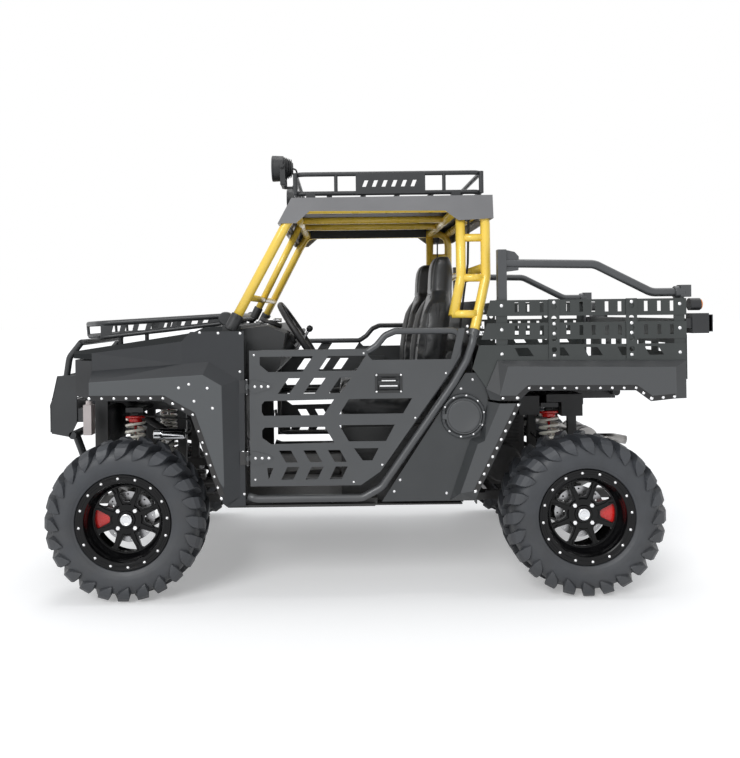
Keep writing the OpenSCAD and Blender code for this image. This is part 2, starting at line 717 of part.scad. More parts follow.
// Windows of the door, each an outline in Y and Z.
door_windows = [
    [[-446, 1012], [-224, 1012], [-268, 948], [-411, 948], [-446, 978]],
    [[-160, 1012], [-2, 1012], [-44, 950], [-202, 950]],
    [[-428, 827], [-138, 831], [-182, 766], [-432, 766], [-440, 780], [-440, 812]],
    [[-76, 832], [188, 832], [150, 769], [-116, 769]],
    [[-428, 717], [-178, 717], [-139, 651], [-403, 647], [-439, 674], [-439, 705]],
    [[-117, 723], [114, 723], [77, 655], [-78, 655]],
    [[-57, 626], [46, 626], [19, 575], [-21, 575]],
    [[-420, 548], [-394, 548], [-414, 500]]];
// Rows of small slanted windows: first corner's Y, foot's Z, head's Z, lean, width, count, step.
door_rows = [[-372, 857, 921, 45, 48, 3, 107], [-342, 570, 620, -28, 50, 3, 102], [-362, 498, 551, 26, 50, 3, 101]];

module door_plate_left() {
    color([0.33, 0.34, 0.35]) {
        difference() {
            side_plate(side_x, sheet_t, door_edge);
            for (w = door_windows) side_plate(side_x - 5, 20, w);
            for (r = door_rows) for (i = [0 : r[5] - 1]) {
                y = r[0] + i * r[6];
                side_plate(side_x - 5, 20, [[y, r[1]], [y + r[4], r[1]], [y + r[4] + r[3], r[2]], [y + r[3], r[2]]]);
            }
            side_plate(side_x - 5, 20, [[44, 866], [138, 866], [138, 925], [44, 925]]);
        }
        // Recessed latch cup
        difference() {
            side_plate(side_x - 22, 26, [[36, 858], [146, 858], [146, 933], [36, 933]]);
            side_plate(side_x - 18, 30, [[44, 866], [138, 866], [138, 925], [44, 925]]);
        }
        side_plate(side_x - 14, 10, [[46, 888], [136, 888], [136, 904], [46, 904]]);
    }
    color([0.15, 0.15, 0.16]) for (z = hinge_z) door_hinge(z);
}

module door_frame_left() {
    tube_x = side_x - door_tube_d / 2 - 0.3;
    route = [[-476, 1026], [2, 1026], [42, 1052], [78, 1094], [120, 1112], [396, 1112], [384, 1011],
        [344, 945], [48, 540], [-34, 487], [-476, 487]];
    color([0.28, 0.29, 0.3]) {
        pipe([for (p = concat(route, [route[0]])) [tube_x, p[0], p[1]]], door_tube_d);
        bar([tube_x, -476, 487], [tube_x, -476, 1026], door_tube_d - 1);
        bar([tube_x, -476, 740], [tube_x, 175, 740], door_tube_d - 6);
    }
}

// ---------------------------------------------------------------- cargo bed

module bed_tub() {
    color([0.12, 0.12, 0.13]) {
        block([-bed_half, bed_front, bed_z], [bed_half, bed_rear, bed_z + 10]);
        block([-bed_half, bed_front - 4, bed_z], [bed_half, bed_front, 1048]);
        block([-592, bed_front - 4, 1040], [592, bed_front, 1235]);
        both_sides() {
            block([bed_half, 516, bed_z], [board_x - 0.3, bed_rear, bed_z + 6]);
            block([200, bed_front + 60, 812], [240, bed_rear - 40, bed_z]);
            translate([182, bed_hinge_y, bed_hinge_z]) rotate([0, 90, 0]) cylinder(h = 60, r = 18);
            block([200, bed_hinge_y - 18, bed_hinge_z], [240, bed_hinge_y + 18, bed_z]);
        }
        translate([-240, bed_hinge_y, bed_hinge_z]) rotate([0, 90, 0]) cylinder(h = 480, r = 8);
        // Lugs and pins that carry the tailgate
        both_sides() {
            block([618, bed_rear - 30, bed_z + 10], [628, 1364, gate_hinge_z + 12]);
            translate([572, gate_hinge_y, gate_hinge_z]) rotate([0, 90, 0]) cylinder(h = 50, r = 4.95);
        }
    }
}

// One bed side: slatted boards, their upright straps and the solid lower board with its windows.
module bed_side() {
    slot_y = [630, 676, 735, 846, 900, 951, 1007, 1061, 1171, 1226, 1279];
    strap_y = [785, 1109];
    color([0.25, 0.26, 0.27]) {
        difference() {
            union() {
                side_plate(board_x, 4, [[503, 1170], [520, 1236], [1340, 1236], [1340, 1166]]);
                side_plate(board_x, 4, [[480, 1072], [506, 1140], [1340, 1140], [1340, 1068]]);
            }
            for (y = slot_y) for (z = [1184, 1086]) side_plate(board_x - 5, 20, [[y - 8, z], [y + 8, z], [y + 8, z + 42], [y - 8, z + 42]]);
        }
        difference() {
            side_plate(board_x, 4, [[442, 951], [472, 1048], [1335, 1048], [1335, 870], [500, 870], [452, 940]]);
            for (y = [650, 800, 940, 1080, 1195])
                side_plate(board_x - 5, 20, [[y - 30, 1036], [y + 26, 1036], [y + 50, 1000], [y - 12, 1000]]);
        }
        for (y = strap_y) difference() {
            side_plate(board_x + 4.3, 4, [[y - 23, 985], [y + 23, 985], [y + 23, 1238], [y - 23, 1238]]);
            for (z = [1027, 1073, 1115, 1157, 1207]) translate([board_x, y, z]) rotate([0, 90, 0]) cylinder(h = 20, r = 11);
        }
        side_plate(board_x - 8, 7.7, [[1290, 870], [1334, 870], [1334, 1238], [1290, 1238]]);
        side_plate(board_x - 8, 7.7, [[545, 870], [590, 870], [590, 1238], [545, 1238]]);
    }
}

module bed_flare() {
    outer_x = flare_x - 5;
    inner_x = board_x + 10;
    corners = [
        [outer_x, 586, 960], [outer_x, 1277, 950], [outer_x, 1278, 842], [outer_x, 1176, 834],
        [outer_x, 1113, 880], [outer_x, 664, 884], [outer_x, 615, 841], [outer_x, 552, 841], // 0-7 outer face
        [inner_x, 548, 984], [inner_x, 1334, 976], [inner_x, 1334, 818], [inner_x, 498, 866],
        [inner_x, 514, 822], // 8-12 fold lines on the bed
        [outer_x - 9, 1278, 819], [outer_x - 9, 1178, 809], [outer_x - 9, 1116, 855],
        [outer_x - 9, 674, 860], [outer_x - 9, 629, 818], [outer_x - 9, 550, 818]]; // 13-18 arch edge
    faces = [[0, 1, 4, 5], [1, 2, 3, 4], [0, 5, 6, 7], [8, 9, 1, 0], [1, 9, 10, 2], [2, 10, 13], [8, 0, 7, 11], [11, 7, 18, 12],
        [2, 13, 14, 3], [3, 14, 15, 4], [4, 15, 16, 5], [5, 16, 17, 6], [6, 17, 18, 7]];
    color([0.35, 0.35, 0.36]) folded_sheet(corners, faces, sheet_t);
}

module bed_hoop() {
    x = 662;
    color([0.3, 0.3, 0.31]) {
        block([x - 19, 556, bed_z + 10], [x + 19, 594, 1450]);
        pipe([[x, 590, 1392], [x, 968, 1384], [x, 1207, 1262], [x, 1330, 1262]], 36);
        block([x - 19, 1322, 866], [x + 19, 1334, 1292]);
        block([x - 24, 1322, 1241], [x + 24, 1366, 1292]);
        side_plate(x - 8, 16, [[594, 1356], [646, 1362], [648, 1420], [630, 1440], [594, 1448]]);
    }
}

module tailgate() {
    inside = 612;
    color([0.25, 0.26, 0.27]) difference() {
        union() {
            block([-inside, 1348, gate_hinge_z], [inside, 1356, 1150]);
            both_sides() block([inside - 60, 1356, gate_hinge_z + 10], [inside - 20, 1386, 1080]);
            translate([-inside, gate_hinge_y, gate_hinge_z]) rotate([0, 90, 0]) cylinder(h = 2 * inside, r = 9);
            block([-inside, 1356, 1130], [inside, 1372, 1150]);
        }
        for (x = [-440 : 160 : 360]) block([x, 1340, 1000], [x + 90, 1360, 1040]);
        both_sides() translate([560, gate_hinge_y, gate_hinge_z]) rotate([0, 90, 0]) cylinder(h = 80, r = 5);
    }
}

module tail_lamps() {
    color([0.3, 0.3, 0.31]) both_sides() {
        block([626, 1366.3, 1088], [690, 1436, 1172]);
        block([632, 1436, 1094], [684, 1455, 1166]);
        block([650, 1340.3, 1110], [684, 1366.3, 1150]);
        translate([656, 1366.3, 1210]) rotate([-90, 0, 0]) cylinder(h = 44, r = 26);
    }
}

// ---------------------------------------------------------------- masses inside

module engine_block() {
    color([0.2, 0.2, 0.21]) block([-210, 545, 384], [210, 765, 730]);
}

module air_box() {
    color([0.05, 0.05, 0.055]) {
        block([-380, 832, 770], [380, 996, 806]);
        both_sides() {
            block([190, 900, 706], [380, 996, 770]);
            block([214, 706, 714], [380, 798, 800]);
        }
    }
}

module muffler() {
    color([0.5, 0.5, 0.5]) {
        translate([-140, 1086, 560]) rotate([0, 90, 0]) cylinder(h = 280, r = 58);
        translate([100, 1086, 560]) rotate([-90, 0, 0]) translate([0, 0, 40]) cylinder(h = 60, r = 20);
    }
}

// ---------------------------------------------------------------- nodes

frame();
upper_frames();
radiator();
coolant_bottle();
floor_pan();
cabin_walls();
seat_base();
hood();
front_fascia();
headlights();
front_fenders();
door_hinges();
front_bumper();
winch();
front_rack();
dashboard();
roll_cage();
roof();
roof_rack();
roof_lamps();
side_hoops();
rear_panels();
translate([wheel_centre[0], 0, 0]) seat();  // driver_seat
translate([-wheel_centre[0], 0, 0]) seat();  // passenger_seat
steering_column();
steering_wheel();
engine_block();
air_box();
muffler();
driveline();
suspension_arms();
shock_absorbers();
coil_springs();
tie_rods();
at_axle(front_y) { knuckle(-1); steering_arm(); }  // front_left_knuckle
mirror([1, 0, 0]) at_axle(front_y) { knuckle(-1); steering_arm(); }  // front_right_knuckle
both_sides() at_axle(rear_y) knuckle(1);  // rear_knuckles
at_axle(front_y) caliper(180);  // front_left_caliper
mirror([1, 0, 0]) at_axle(front_y) caliper(180);  // front_right_caliper
both_sides() at_axle(rear_y) caliper(0);  // rear_calipers
at_axle(front_y) translate([front_tyre_x, 0, 0]) tyre(front_tyre_w, rim_half);  // front_left_tyre
at_axle(front_y) rim(rim_half);  // front_left_rim
mirror([1, 0, 0]) at_axle(front_y) translate([front_tyre_x, 0, 0]) tyre(front_tyre_w, rim_half);  // front_right_tyre
mirror([1, 0, 0]) at_axle(front_y) rim(rim_half);  // front_right_rim
at_axle(rear_y) translate([rear_tyre_x, 0, 0]) tyre(rear_tyre_w, rear_rim_half);  // rear_left_tyre
at_axle(rear_y) rim(rear_rim_half);  // rear_left_rim
mirror([1, 0, 0]) at_axle(rear_y) translate([rear_tyre_x, 0, 0]) tyre(rear_tyre_w, rear_rim_half);  // rear_right_tyre
mirror([1, 0, 0]) at_axle(rear_y) rim(rear_rim_half);  // rear_right_rim
door_frame_left();  // left_door_frame
door_plate_left();  // left_door_plate
mirror([1, 0, 0]) door_frame_left();  // right_door_frame
mirror([1, 0, 0]) door_plate_left();  // right_door_plate
fuel_flap();
bed_tub();
both_sides() bed_side();  // bed_side_boards
both_sides() bed_flare();  // bed_flares
both_sides() bed_hoop();  // bed_hoops
tailgate();
tail_lamps();
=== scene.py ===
"""Looks of a side by side utility vehicle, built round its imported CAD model.

Z is up, the front points to -Y and the vehicle's left side to +X.
"""
import math

import bpy
from mathutils import Matrix, Vector
from mathutils.bvhtree import BVHTree
from mathutils.geometry import tessellate_polygon


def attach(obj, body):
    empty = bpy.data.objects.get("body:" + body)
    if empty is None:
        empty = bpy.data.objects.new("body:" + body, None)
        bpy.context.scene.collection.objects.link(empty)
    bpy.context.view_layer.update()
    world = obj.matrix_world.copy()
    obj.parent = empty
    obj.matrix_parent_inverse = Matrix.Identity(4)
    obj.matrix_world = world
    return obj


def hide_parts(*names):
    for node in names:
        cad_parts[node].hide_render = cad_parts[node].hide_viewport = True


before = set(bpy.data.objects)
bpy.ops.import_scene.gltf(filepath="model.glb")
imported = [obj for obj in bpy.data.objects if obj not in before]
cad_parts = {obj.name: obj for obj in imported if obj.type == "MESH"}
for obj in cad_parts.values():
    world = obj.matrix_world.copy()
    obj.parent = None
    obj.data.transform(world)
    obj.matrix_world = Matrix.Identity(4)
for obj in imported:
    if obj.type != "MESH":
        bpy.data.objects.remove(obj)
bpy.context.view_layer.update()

MM = 0.001
BODY = "chassis"
FRONT_Y, REAR_Y, HUB_Z = -1016, 904, 334


# ------------------------------------------------------------------ materials

def material(name, colour, rough, metal=0.0, coat=0.0, vary=0.12, vary_scale=6.0, rough_vary=0.08,
             bump=0.0, bump_scale=400.0, bump_depth=0.0004, dust=0.0, voronoi=False, specular=0.5,
             alpha=1.0, emission=None, sheen=0.0, face=None):
    """A principled material whose colour, roughness and relief vary over the surface.

    face is (x, colour): the outermost face, out at that x, gets this lighter colour and the tilted facets keep the
    darker base colour, a painted shade."""
    m = bpy.data.materials.new(name)
    m.use_nodes = True
    nt = m.node_tree
    nodes, links = nt.nodes, nt.links
    bsdf = nodes["Principled BSDF"]
    coord = nodes.new("ShaderNodeTexCoord")

    noise = nodes.new("ShaderNodeTexNoise")
    noise.inputs["Scale"].default_value = vary_scale
    noise.inputs["Detail"].default_value = 6.0
    links.new(coord.outputs["Object"], noise.inputs["Vector"])
    ramp = nodes.new("ShaderNodeValToRGB")
    lo = [c * (1 - vary) for c in colour[:3]] + [1.0]
    hi = [min(1.0, c * (1 + vary)) for c in colour[:3]] + [1.0]
    ramp.color_ramp.elements[0].color, ramp.color_ramp.elements[0].position = lo, 0.3
    ramp.color_ramp.elements[1].color, ramp.color_ramp.elements[1].position = hi, 0.7
    links.new(noise.outputs["Fac"], ramp.inputs["Fac"])
    last = ramp.outputs["Color"]
    # Painted shade: the outermost face is painted lighter and the tilted facets darker, the way a frontal light
    # leaves them.
    if face:
        split = nodes.new("ShaderNodeSeparateXYZ")
        links.new(coord.outputs["Object"], split.inputs["Vector"])
        out_x = nodes.new("ShaderNodeMath")
        out_x.operation = "ABSOLUTE"
        links.new(split.outputs["X"], out_x.inputs[0])
        edge = nodes.new("ShaderNodeMapRange")
        edge.inputs["From Min"].default_value = face[0] - 0.001
        edge.inputs["From Max"].default_value = face[0]
        links.new(out_x.outputs[0], edge.inputs["Value"])
        mix = nodes.new("ShaderNodeMix")
        mix.data_type = "RGBA"
        links.new(edge.outputs["Result"], mix.inputs["Factor"])
        links.new(last, mix.inputs["A"])
        mix.inputs["B"].default_value = (*face[1], 1)
        last = mix.outputs["Result"]
    if dust:
        # Dust gathers low down, in patches.
        split = nodes.new("ShaderNodeSeparateXYZ")
        links.new(coord.outputs["Object"], split.inputs["Vector"])
        low = nodes.new("ShaderNodeMapRange")
        low.inputs["From Min"].default_value, low.inputs["From Max"].default_value = 0.9, 0.25
        low.inputs["To Min"].default_value, low.inputs["To Max"].default_value = 0.0, dust
        links.new(split.outputs["Z"], low.inputs["Value"])
        patch = nodes.new("ShaderNodeTexNoise")
        patch.inputs["Scale"].default_value, patch.inputs["Detail"].default_value = 14.0, 8.0
        links.new(coord.outputs["Object"], patch.inputs["Vector"])
        both = nodes.new("ShaderNodeMath")
        both.operation = "MULTIPLY"
        links.new(low.outputs["Result"], both.inputs[0])
        links.new(patch.outputs["Fac"], both.inputs[1])
        mix = nodes.new("ShaderNodeMix")
        mix.data_type = "RGBA"
        links.new(both.outputs[0], mix.inputs["Factor"])
        links.new(last, mix.inputs["A"])
        mix.inputs["B"].default_value = (0.22, 0.2, 0.17, 1)
        last = mix.outputs["Result"]
    links.new(last, bsdf.inputs["Base Color"])

    fine = nodes.new("ShaderNodeTexNoise")
    fine.inputs["Scale"].default_value, fine.inputs["Detail"].default_value = vary_scale * 5, 4.0
    links.new(coord.outputs["Object"], fine.inputs["Vector"])
    spread = nodes.new("ShaderNodeMapRange")
    spread.inputs["To Min"].default_value = max(0.02, rough - rough_vary)
    spread.inputs["To Max"].default_value = min(1.0, rough + rough_vary)
    links.new(fine.outputs["Fac"], spread.inputs["Value"])
    links.new(spread.outputs["Result"], bsdf.inputs["Roughness"])

    if bump:
        if voronoi:
            relief = nodes.new("ShaderNodeTexVoronoi")
            relief.feature = "DISTANCE_TO_EDGE"
            out = relief.outputs["Distance"]
        else:
            relief = nodes.new("ShaderNodeTexNoise")
            relief.inputs["Detail"].default_value = 3.0
            out = relief.outputs["Fac"]
        relief.inputs["Scale"].default_value = bump_scale
        links.new(coord.outputs["Object"], relief.inputs["Vector"])
        node = nodes.new("ShaderNodeBump")
        node.inputs["Strength"].default_value = bump
        node.inputs["Distance"].default_value = bump_depth
        links.new(out, node.inputs["Height"])
        links.new(node.outputs["Normal"], bsdf.inputs["Normal"])

    bsdf.inputs["Metallic"].default_value = metal
    bsdf.inputs["Coat Weight"].default_value = coat
    bsdf.inputs["Coat Roughness"].default_value = 0.08
    bsdf.inputs["Specular IOR Level"].default_value = specular
    bsdf.inputs["Alpha"].default_value = alpha
    bsdf.inputs["Sheen Weight"].default_value = sheen
    if emission:
        bsdf.inputs["Emission Color"].default_value = (*emission, 1)
        bsdf.inputs["Emission Strength"].default_value = 0.6
    return m


def paint(name, colour, rough=0.42, metal=0.1, coat=0.1, vary=0.1, vary_scale=5.0, rough_vary=0.07, **more):
    """Satin paint with a fine orange peel."""
    return material(name, colour, rough, metal, coat, vary, vary_scale, rough_vary, 0.25, 900, 0.0002, **more)


# The numbers after a colour are roughness, metal, coat, colour variation and its scale, roughness variation,
# then the relief's strength, its scale and its depth in metres.
PAINT = paint("charcoal_paint", (0.046, 0.049, 0.052), 0.40, 0.15)
PAINT_LIGHT = paint("charcoal_paint_light", (0.066, 0.069, 0.072), 0.40, 0.15, vary=0.08)
ROOF_PAINT = paint("roof_paint", (0.19, 0.19, 0.195), 0.38, 0.2, vary=0.07, rough_vary=0.06)
BOARD_PAINT = paint("board_paint", (0.036, 0.041, 0.040), 0.42, 0.15, vary_scale=7.0)
# The flares and the quarter panels carry painted shade: their tilted facets are painted darker than their outermost
# face.
FLARE = paint("flare_shade_painted", (0.026, 0.028, 0.031), specular=0.35, face=(0.7342, (0.088, 0.093, 0.097)))
BED_FLARE = paint("bed_flare_shade_painted", (0.036, 0.038, 0.040), specular=0.4, face=(0.7292, (0.074, 0.077, 0.080)))
QUARTER = paint("quarter_shade_painted", (0.044, 0.047, 0.049), specular=0.4, face=(0.7292, (0.072, 0.075, 0.078)))
TUBE = material("tube_powder_coat", (0.070, 0.073, 0.077), 0.38, 0.2, 0.15, 0.08, 8.0, 0.06,
                0.3, 700, 0.0002, dust=0.08)
CHASSIS = material("chassis_powder_coat", (0.020, 0.021, 0.023), 0.45, 0.1, 0.1, 0.2, 9.0, 0.1,
                   0.3, 500, 0.0003, dust=0.25)
RACK = material("rack_powder_coat", (0.026, 0.028, 0.030), 0.42, 0.1, 0.1, 0.12, 9.0, 0.08,
                0.35, 600, 0.0003)
PLASTIC = material("black_moulding", (0.018, 0.019, 0.020), 0.5, 0.0, 0.0, 0.12, 12.0, 0.06,
                   0.4, 650, 0.0004, dust=0.12)
STRIP = material("rubber_strip", (0.016, 0.016, 0.017), 0.6, 0.0, 0.0, 0.15, 20.0, 0.08,
                 0.3, 500, 0.0003, dust=0.15)
GLOSS = material("gloss_hood", (0.012, 0.014, 0.015), 0.34, 0.0, 0.0, 0.1, 4.0, 0.05, 0.08, 60, 0.0006,
                 specular=0.2)
YELLOW = material("yellow_paint", (0.96, 0.66, 0.09), 0.28, 0.0, 0.4, 0.06, 7.0, 0.06,
                  0.12, 500, 0.0002)
RUBBER = material("tread_rubber", (0.036, 0.040, 0.047), 0.50, 0.0, 0.0, 0.16, 10.0, 0.1,
                  0.3, 420, 0.0005, dust=0.12, specular=0.5)
RIM = material("rim_black", (0.004, 0.004, 0.0045), 0.22, 0.0, 0.1, 0.15, 9.0, 0.06, 0.1, 300, 0.0003,
               specular=0.18)
SILVER = material("zinc_bolt", (0.90, 0.90, 0.91), 0.25, 0.85, 0.0, 0.06, 40.0, 0.1, 0.1, 600, 0.0002)
CHROME = material("chrome", (0.75, 0.76, 0.78), 0.12, 1.0, 0.0, 0.05, 20.0, 0.05)
STEEL = material("machined_steel", (0.42, 0.42, 0.43), 0.34, 1.0, 0.0, 0.15, 30.0, 0.12, 0.3, 260, 0.0003)
CAST = material("cast_iron", (0.045, 0.045, 0.047), 0.6, 0.3, 0.0, 0.25, 16.0, 0.1,
                0.6, 260, 0.0006, dust=0.2)
RED = material("caliper_red", (0.70, 0.012, 0.010), 0.28, 0.0, 0.5, 0.12, 14.0, 0.06, 0.2, 300, 0.0004)
CREAM = material("spring_cream", (0.86, 0.83, 0.74), 0.3, 0.0, 0.3, 0.06, 14.0, 0.06, 0.1, 300, 0.0002)
VINYL = material("seat_vinyl", (0.016, 0.017, 0.018), 0.38, 0.0, 0.0, 0.12, 9.0, 0.06,
                 0.35, 420, 0.0008, voronoi=True, sheen=0.15)
STITCH = material("seat_piping", (0.035, 0.036, 0.038), 0.45, 0.0, 0.0, 0.1, 60.0, 0.06, 0.5, 900, 0.0004)
GRIP = material("soft_grip", (0.014, 0.014, 0.015), 0.48, 0.0, 0.0, 0.15, 20.0, 0.06,
                0.5, 500, 0.0006, voronoi=True)
LENS = material("lamp_lens", (0.75, 0.79, 0.85), 0.08, 0.0, 0.5, 0.05, 30.0, 0.03, alpha=0.38)
REFLECTOR = material("lamp_reflector", (0.8, 0.81, 0.83), 0.1, 1.0, 0.0, 0.06, 60.0, 0.04, 0.3, 160, 0.0008)
RED_LENS = material("tail_lens", (0.45, 0.01, 0.012), 0.12, 0.0, 0.6, 0.15, 50.0, 0.05,
                    0.8, 200, 0.0012, voronoi=True)
AMBER = material("amber_lens", (0.75, 0.22, 0.01), 0.12, 0.0, 0.6, 0.15, 50.0, 0.05,
                 0.8, 200, 0.0012, voronoi=True)
BOTTLE = material("bottle_plastic", (0.52, 0.47, 0.46), 0.45, 0.0, 0.1, 0.08, 12.0, 0.06, 0.1, 200, 0.0004)
WEBBING = material("belt_webbing", (0.012, 0.012, 0.013), 0.7, 0.0, 0.0, 0.2, 90.0, 0.1, 0.9, 1200, 0.0006)
CORE = material("radiator_core", (0.030, 0.031, 0.033), 0.4, 0.6, 0.0, 0.3, 60.0, 0.1, 0.9, 500, 0.001)
ROPE = material("winch_rope", (0.16, 0.17, 0.19), 0.55, 0.0, 0.0, 0.3, 120.0, 0.1, 0.9, 700, 0.001)
MUFFLER = material("muffler_steel", (0.36, 0.35, 0.34), 0.36, 1.0, 0.0, 0.25, 10.0, 0.15, 0.3, 120, 0.0004)


# ------------------------------------------------------------------ mesh helper

def polar(r, degrees, centre=(0, 0)):
    """The point at that radius and angle in a plane."""
    a = math.radians(degrees)
    return centre[0] + r * math.cos(a), centre[1] + r * math.sin(a)


def circle(r, n, centre=(0, 0)):
    """The corners of a regular polygon."""
    return [polar(r, 360 * i / n, centre) for i in range(n)]


def area(loop):
    """Twice the signed area of an outline."""
    return sum(a[0] * b[1] - b[0] * a[1] for a, b in zip(loop, list(loop[1:]) + [loop[0]]))


def tree_of(*meshes):
    """A tree for rays and nearest points on meshes, in metres."""
    verts, faces = [], []
    for me in meshes:
        base = len(verts)
        verts += [v.co.copy() for v in me.vertices]
        faces += [tuple(base + i for i in p.vertices) for p in me.polygons]
    return BVHTree.FromPolygons(verts, faces)


def rounded(points, radius, steps=6):
    """A route with its corners turned into arcs."""
    pts = [Vector(p) for p in points]
    out = [pts[0]]
    for a, b, c in zip(pts, pts[1:], pts[2:]):
        u, w = (a - b), (c - b)
        lu, lw = u.length, w.length
        u.normalize()
        w.normalize()
        angle = u.angle(w)
        if angle > math.pi - 0.02 or radius <= 0:
            out.append(b)
            continue
        cut = min(radius / math.tan(angle / 2), 0.46 * lu, 0.46 * lw)
        for i in range(steps + 1):
            t = i / steps
            p = (b + u * cut) * (1 - t) ** 2 + b * 2 * t * (1 - t) + (b + w * cut) * t ** 2
            out.append(p)
    return out + [pts[-1]]


MIRROR = Matrix.Diagonal((-1, 1, 1, 1))


class Shape:
    """Solids gathered into one mesh, in millimetres."""

    def __init__(self):
        self.verts, self.faces, self.soft = [], [], []

    def add(self, verts, faces, soft=False):
        base = len(self.verts)
        self.verts.extend(tuple(v) for v in verts)
        self.faces.extend(tuple(base + i for i in f) for f in faces)
        self.soft.extend([soft] * len(faces))
        return self

    def box(self, lo, hi, matrix=None):
        pts = [Vector((x, y, z)) for x in (lo[0], hi[0]) for y in (lo[1], hi[1]) for z in (lo[2], hi[2])]
        if matrix:
            pts = [matrix @ p for p in pts]
        faces = [(0, 1, 3, 2), (4, 6, 7, 5), (0, 4, 5, 1), (2, 3, 7, 6), (0, 2, 6, 4), (1, 5, 7, 3)]
        return self.add(pts, faces)

    def prism(self, outline, lo, hi, holes=(), axis=0, matrix=None):
        """An outline in the two other axes, in their order, drawn out along an axis, with holes."""
        loops = [list(outline)] + [list(h) for h in holes]
        flat = [p for loop in loops for p in loop]
        tris = tessellate_polygon([[Vector((p[0], p[1], 0)) for p in loop] for loop in loops])
        other = [i for i in range(3) if i != axis]

        def at(p, w):
            v = [0, 0, 0]
            v[axis], v[other[0]], v[other[1]] = w, p[0], p[1]
            return matrix @ Vector(v) if matrix else Vector(v)
        n = len(flat)
        verts = [at(p, lo) for p in flat] + [at(p, hi) for p in flat]
        faces = []
        for t in tris:
            a, b, c = (flat[i] for i in t)
            up = ((b[0] - a[0]) * (c[1] - a[1]) - (b[1] - a[1]) * (c[0] - a[0]) > 0) != (axis == 1)
            top, low = (t, t[::-1]) if up else (t[::-1], t)
            faces += [tuple(i + n for i in top), tuple(low)]
        base = 0
        for k, loop in enumerate(loops):
            size = len(loop)
            outward = ((area(loop) > 0) != (axis == 1)) == (k == 0)
            for i in range(size):
                p, q = base + i, base + (i + 1) % size
                faces.append((p, q, q + n, p + n) if outward else (q, p, p + n, q + n))
            base += size
        return self.add(verts, faces)

    def lathe(self, profile, centre=(0, 0, 0), axis=(1, 0, 0), n=64, soft=True, closed=True):
        """A profile of (along, radius) turned about an axis through centre. Ends at radius 0 are closed."""
        d = Vector(axis).normalized()
        u = Vector((0, 1, 0)) if abs(d.x) > 0.9 else d.orthogonal().normalized()
        w = d.cross(u)
        c = Vector(centre)
        verts, rows = [], []
        for along, r in profile:
            if r <= 1e-6:
                rows.append([len(verts)] * n)
                verts.append(c + d * along)
            else:
                rows.append(list(range(len(verts), len(verts) + n)))
                verts += [c + d * along + u * a + w * b for a, b in circle(r, n)]
        pairs = list(zip(rows, rows[1:])) + ([(rows[-1], rows[0])] if closed and profile[0][1] > 0 else [])
        faces = []
        for r0, r1 in pairs:
            for i in range(n):
                j = (i + 1) % n
                f = []
                for v in (r0[i], r0[j], r1[j], r1[i]):
                    if v not in f:
                        f.append(v)
                if len(f) > 2:
                    faces.append(tuple(f))
        if area(profile) < 0:
            faces = [f[::-1] for f in faces]
        return self.add(verts, faces, soft)

    def rod(self, p, q, r, n=20, edge=0.0):
        """A straight round bar with chamfered ends."""
        p, q = Vector(p), Vector(q)
        size = (q - p).length
        e = min(edge, r * 0.6, size * 0.4)
        profile = [(0, 0), (0, r), (size, r), (size, 0)]
        if e:
            profile[1:3] = [(0, r - e), (e, r), (size - e, r), (size, r - e)]
        return self.lathe(profile, p, q - p, n)

    def tube(self, route, r, bend=60.0, n=20):
        """A bent round bar."""
        pts = rounded(route, bend)
        tangents = [(b - a).normalized() for a, b in zip(pts, pts[1:])]
        normal = tangents[0].orthogonal().normalized()
        verts = []
        for i, p in enumerate(pts):
            t0, t1 = tangents[max(0, i - 1)], tangents[min(i, len(tangents) - 1)]
            t = (t0 + t1).normalized()
            normal = (normal - t * normal.dot(t)).normalized()
            other = t.cross(normal)
            stretch = 1 / max(0.5, t.dot(t1))
            wide = r * stretch if 0 < i < len(pts) - 1 else r
            verts += [p + normal * a + other * b for a, b in circle(wide, n)]
        faces = [(i * n + k, i * n + (k + 1) % n, (i + 1) * n + (k + 1) % n, (i + 1) * n + k)
                 for i in range(len(pts) - 1) for k in range(n)]
        self.add(verts, faces, True)
        base = len(self.verts) - len(verts)
        last = base + (len(pts) - 1) * n
        self.faces += [tuple(base + k for k in range(n - 1, -1, -1)), tuple(last + k for k in range(n))]
        self.soft += [False, False]
        return self

    def bolt(self, pos, normal, r=6.0, h=4.0, n=12):
        """A domed bolt head on its washer."""
        washer = [(0, 0), (0, r * 1.35), (h * 0.25, r * 1.3)]
        dome = [(h * 0.3, r), (h * 0.75, r * 0.86), (h, r * 0.45), (h, 0)]
        return self.lathe(washer + dome, pos, normal, n)

    def hexbolt(self, pos, normal, r=7.0, h=6.0):
        """A hexagon head on its washer."""
        self.lathe([(1.5, 0), (1.5, r * 1.35), (0, r * 1.35), (0, 0)], pos, normal, 16)
        return self.lathe([(h, 0), (h, r * 0.85), (h - 1, r), (1.4, r), (1.4, 0)], pos, normal, 6, soft=False)

    def merge(self, other, matrix=None, flip=False):
        """Adds another shape, moved by a matrix. flip turns the faces over, after a mirror."""
        verts = [matrix @ Vector(v) for v in other.verts] if matrix else other.verts
        base = len(self.verts)
        self.verts.extend(tuple(v) for v in verts)
        self.faces.extend(tuple(base + i for i in (f[::-1] if flip else f)) for f in other.faces)
        self.soft.extend(other.soft)
        return self

    def both(self):
        """Adds the same solids on the other side of the centre plane."""
        return self.merge(Shape().merge(self), MIRROR, flip=True)

    def mesh(self, name):
        me = bpy.data.meshes.new(name)
        me.from_pydata([tuple(c * MM for c in v) for v in self.verts], [], self.faces)
        me.polygons.foreach_set("use_smooth", self.soft)
        me.validate()
        me.update()
        return me

    def finish(self, name, material, body=BODY, slot=None, bevel=0.0, segments=2, replaces=(), angle=35):
        """Makes the object, rounds its edges by bevel and lets it ride on a body."""
        obj = bpy.data.objects.new(name, self.mesh(name))
        bpy.context.scene.collection.objects.link(obj)
        obj.data.materials.append(material)
        if bevel:
            soften(obj, bevel, segments, angle)
        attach(obj, body)
        if replaces:
            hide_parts(*replaces)
        return obj


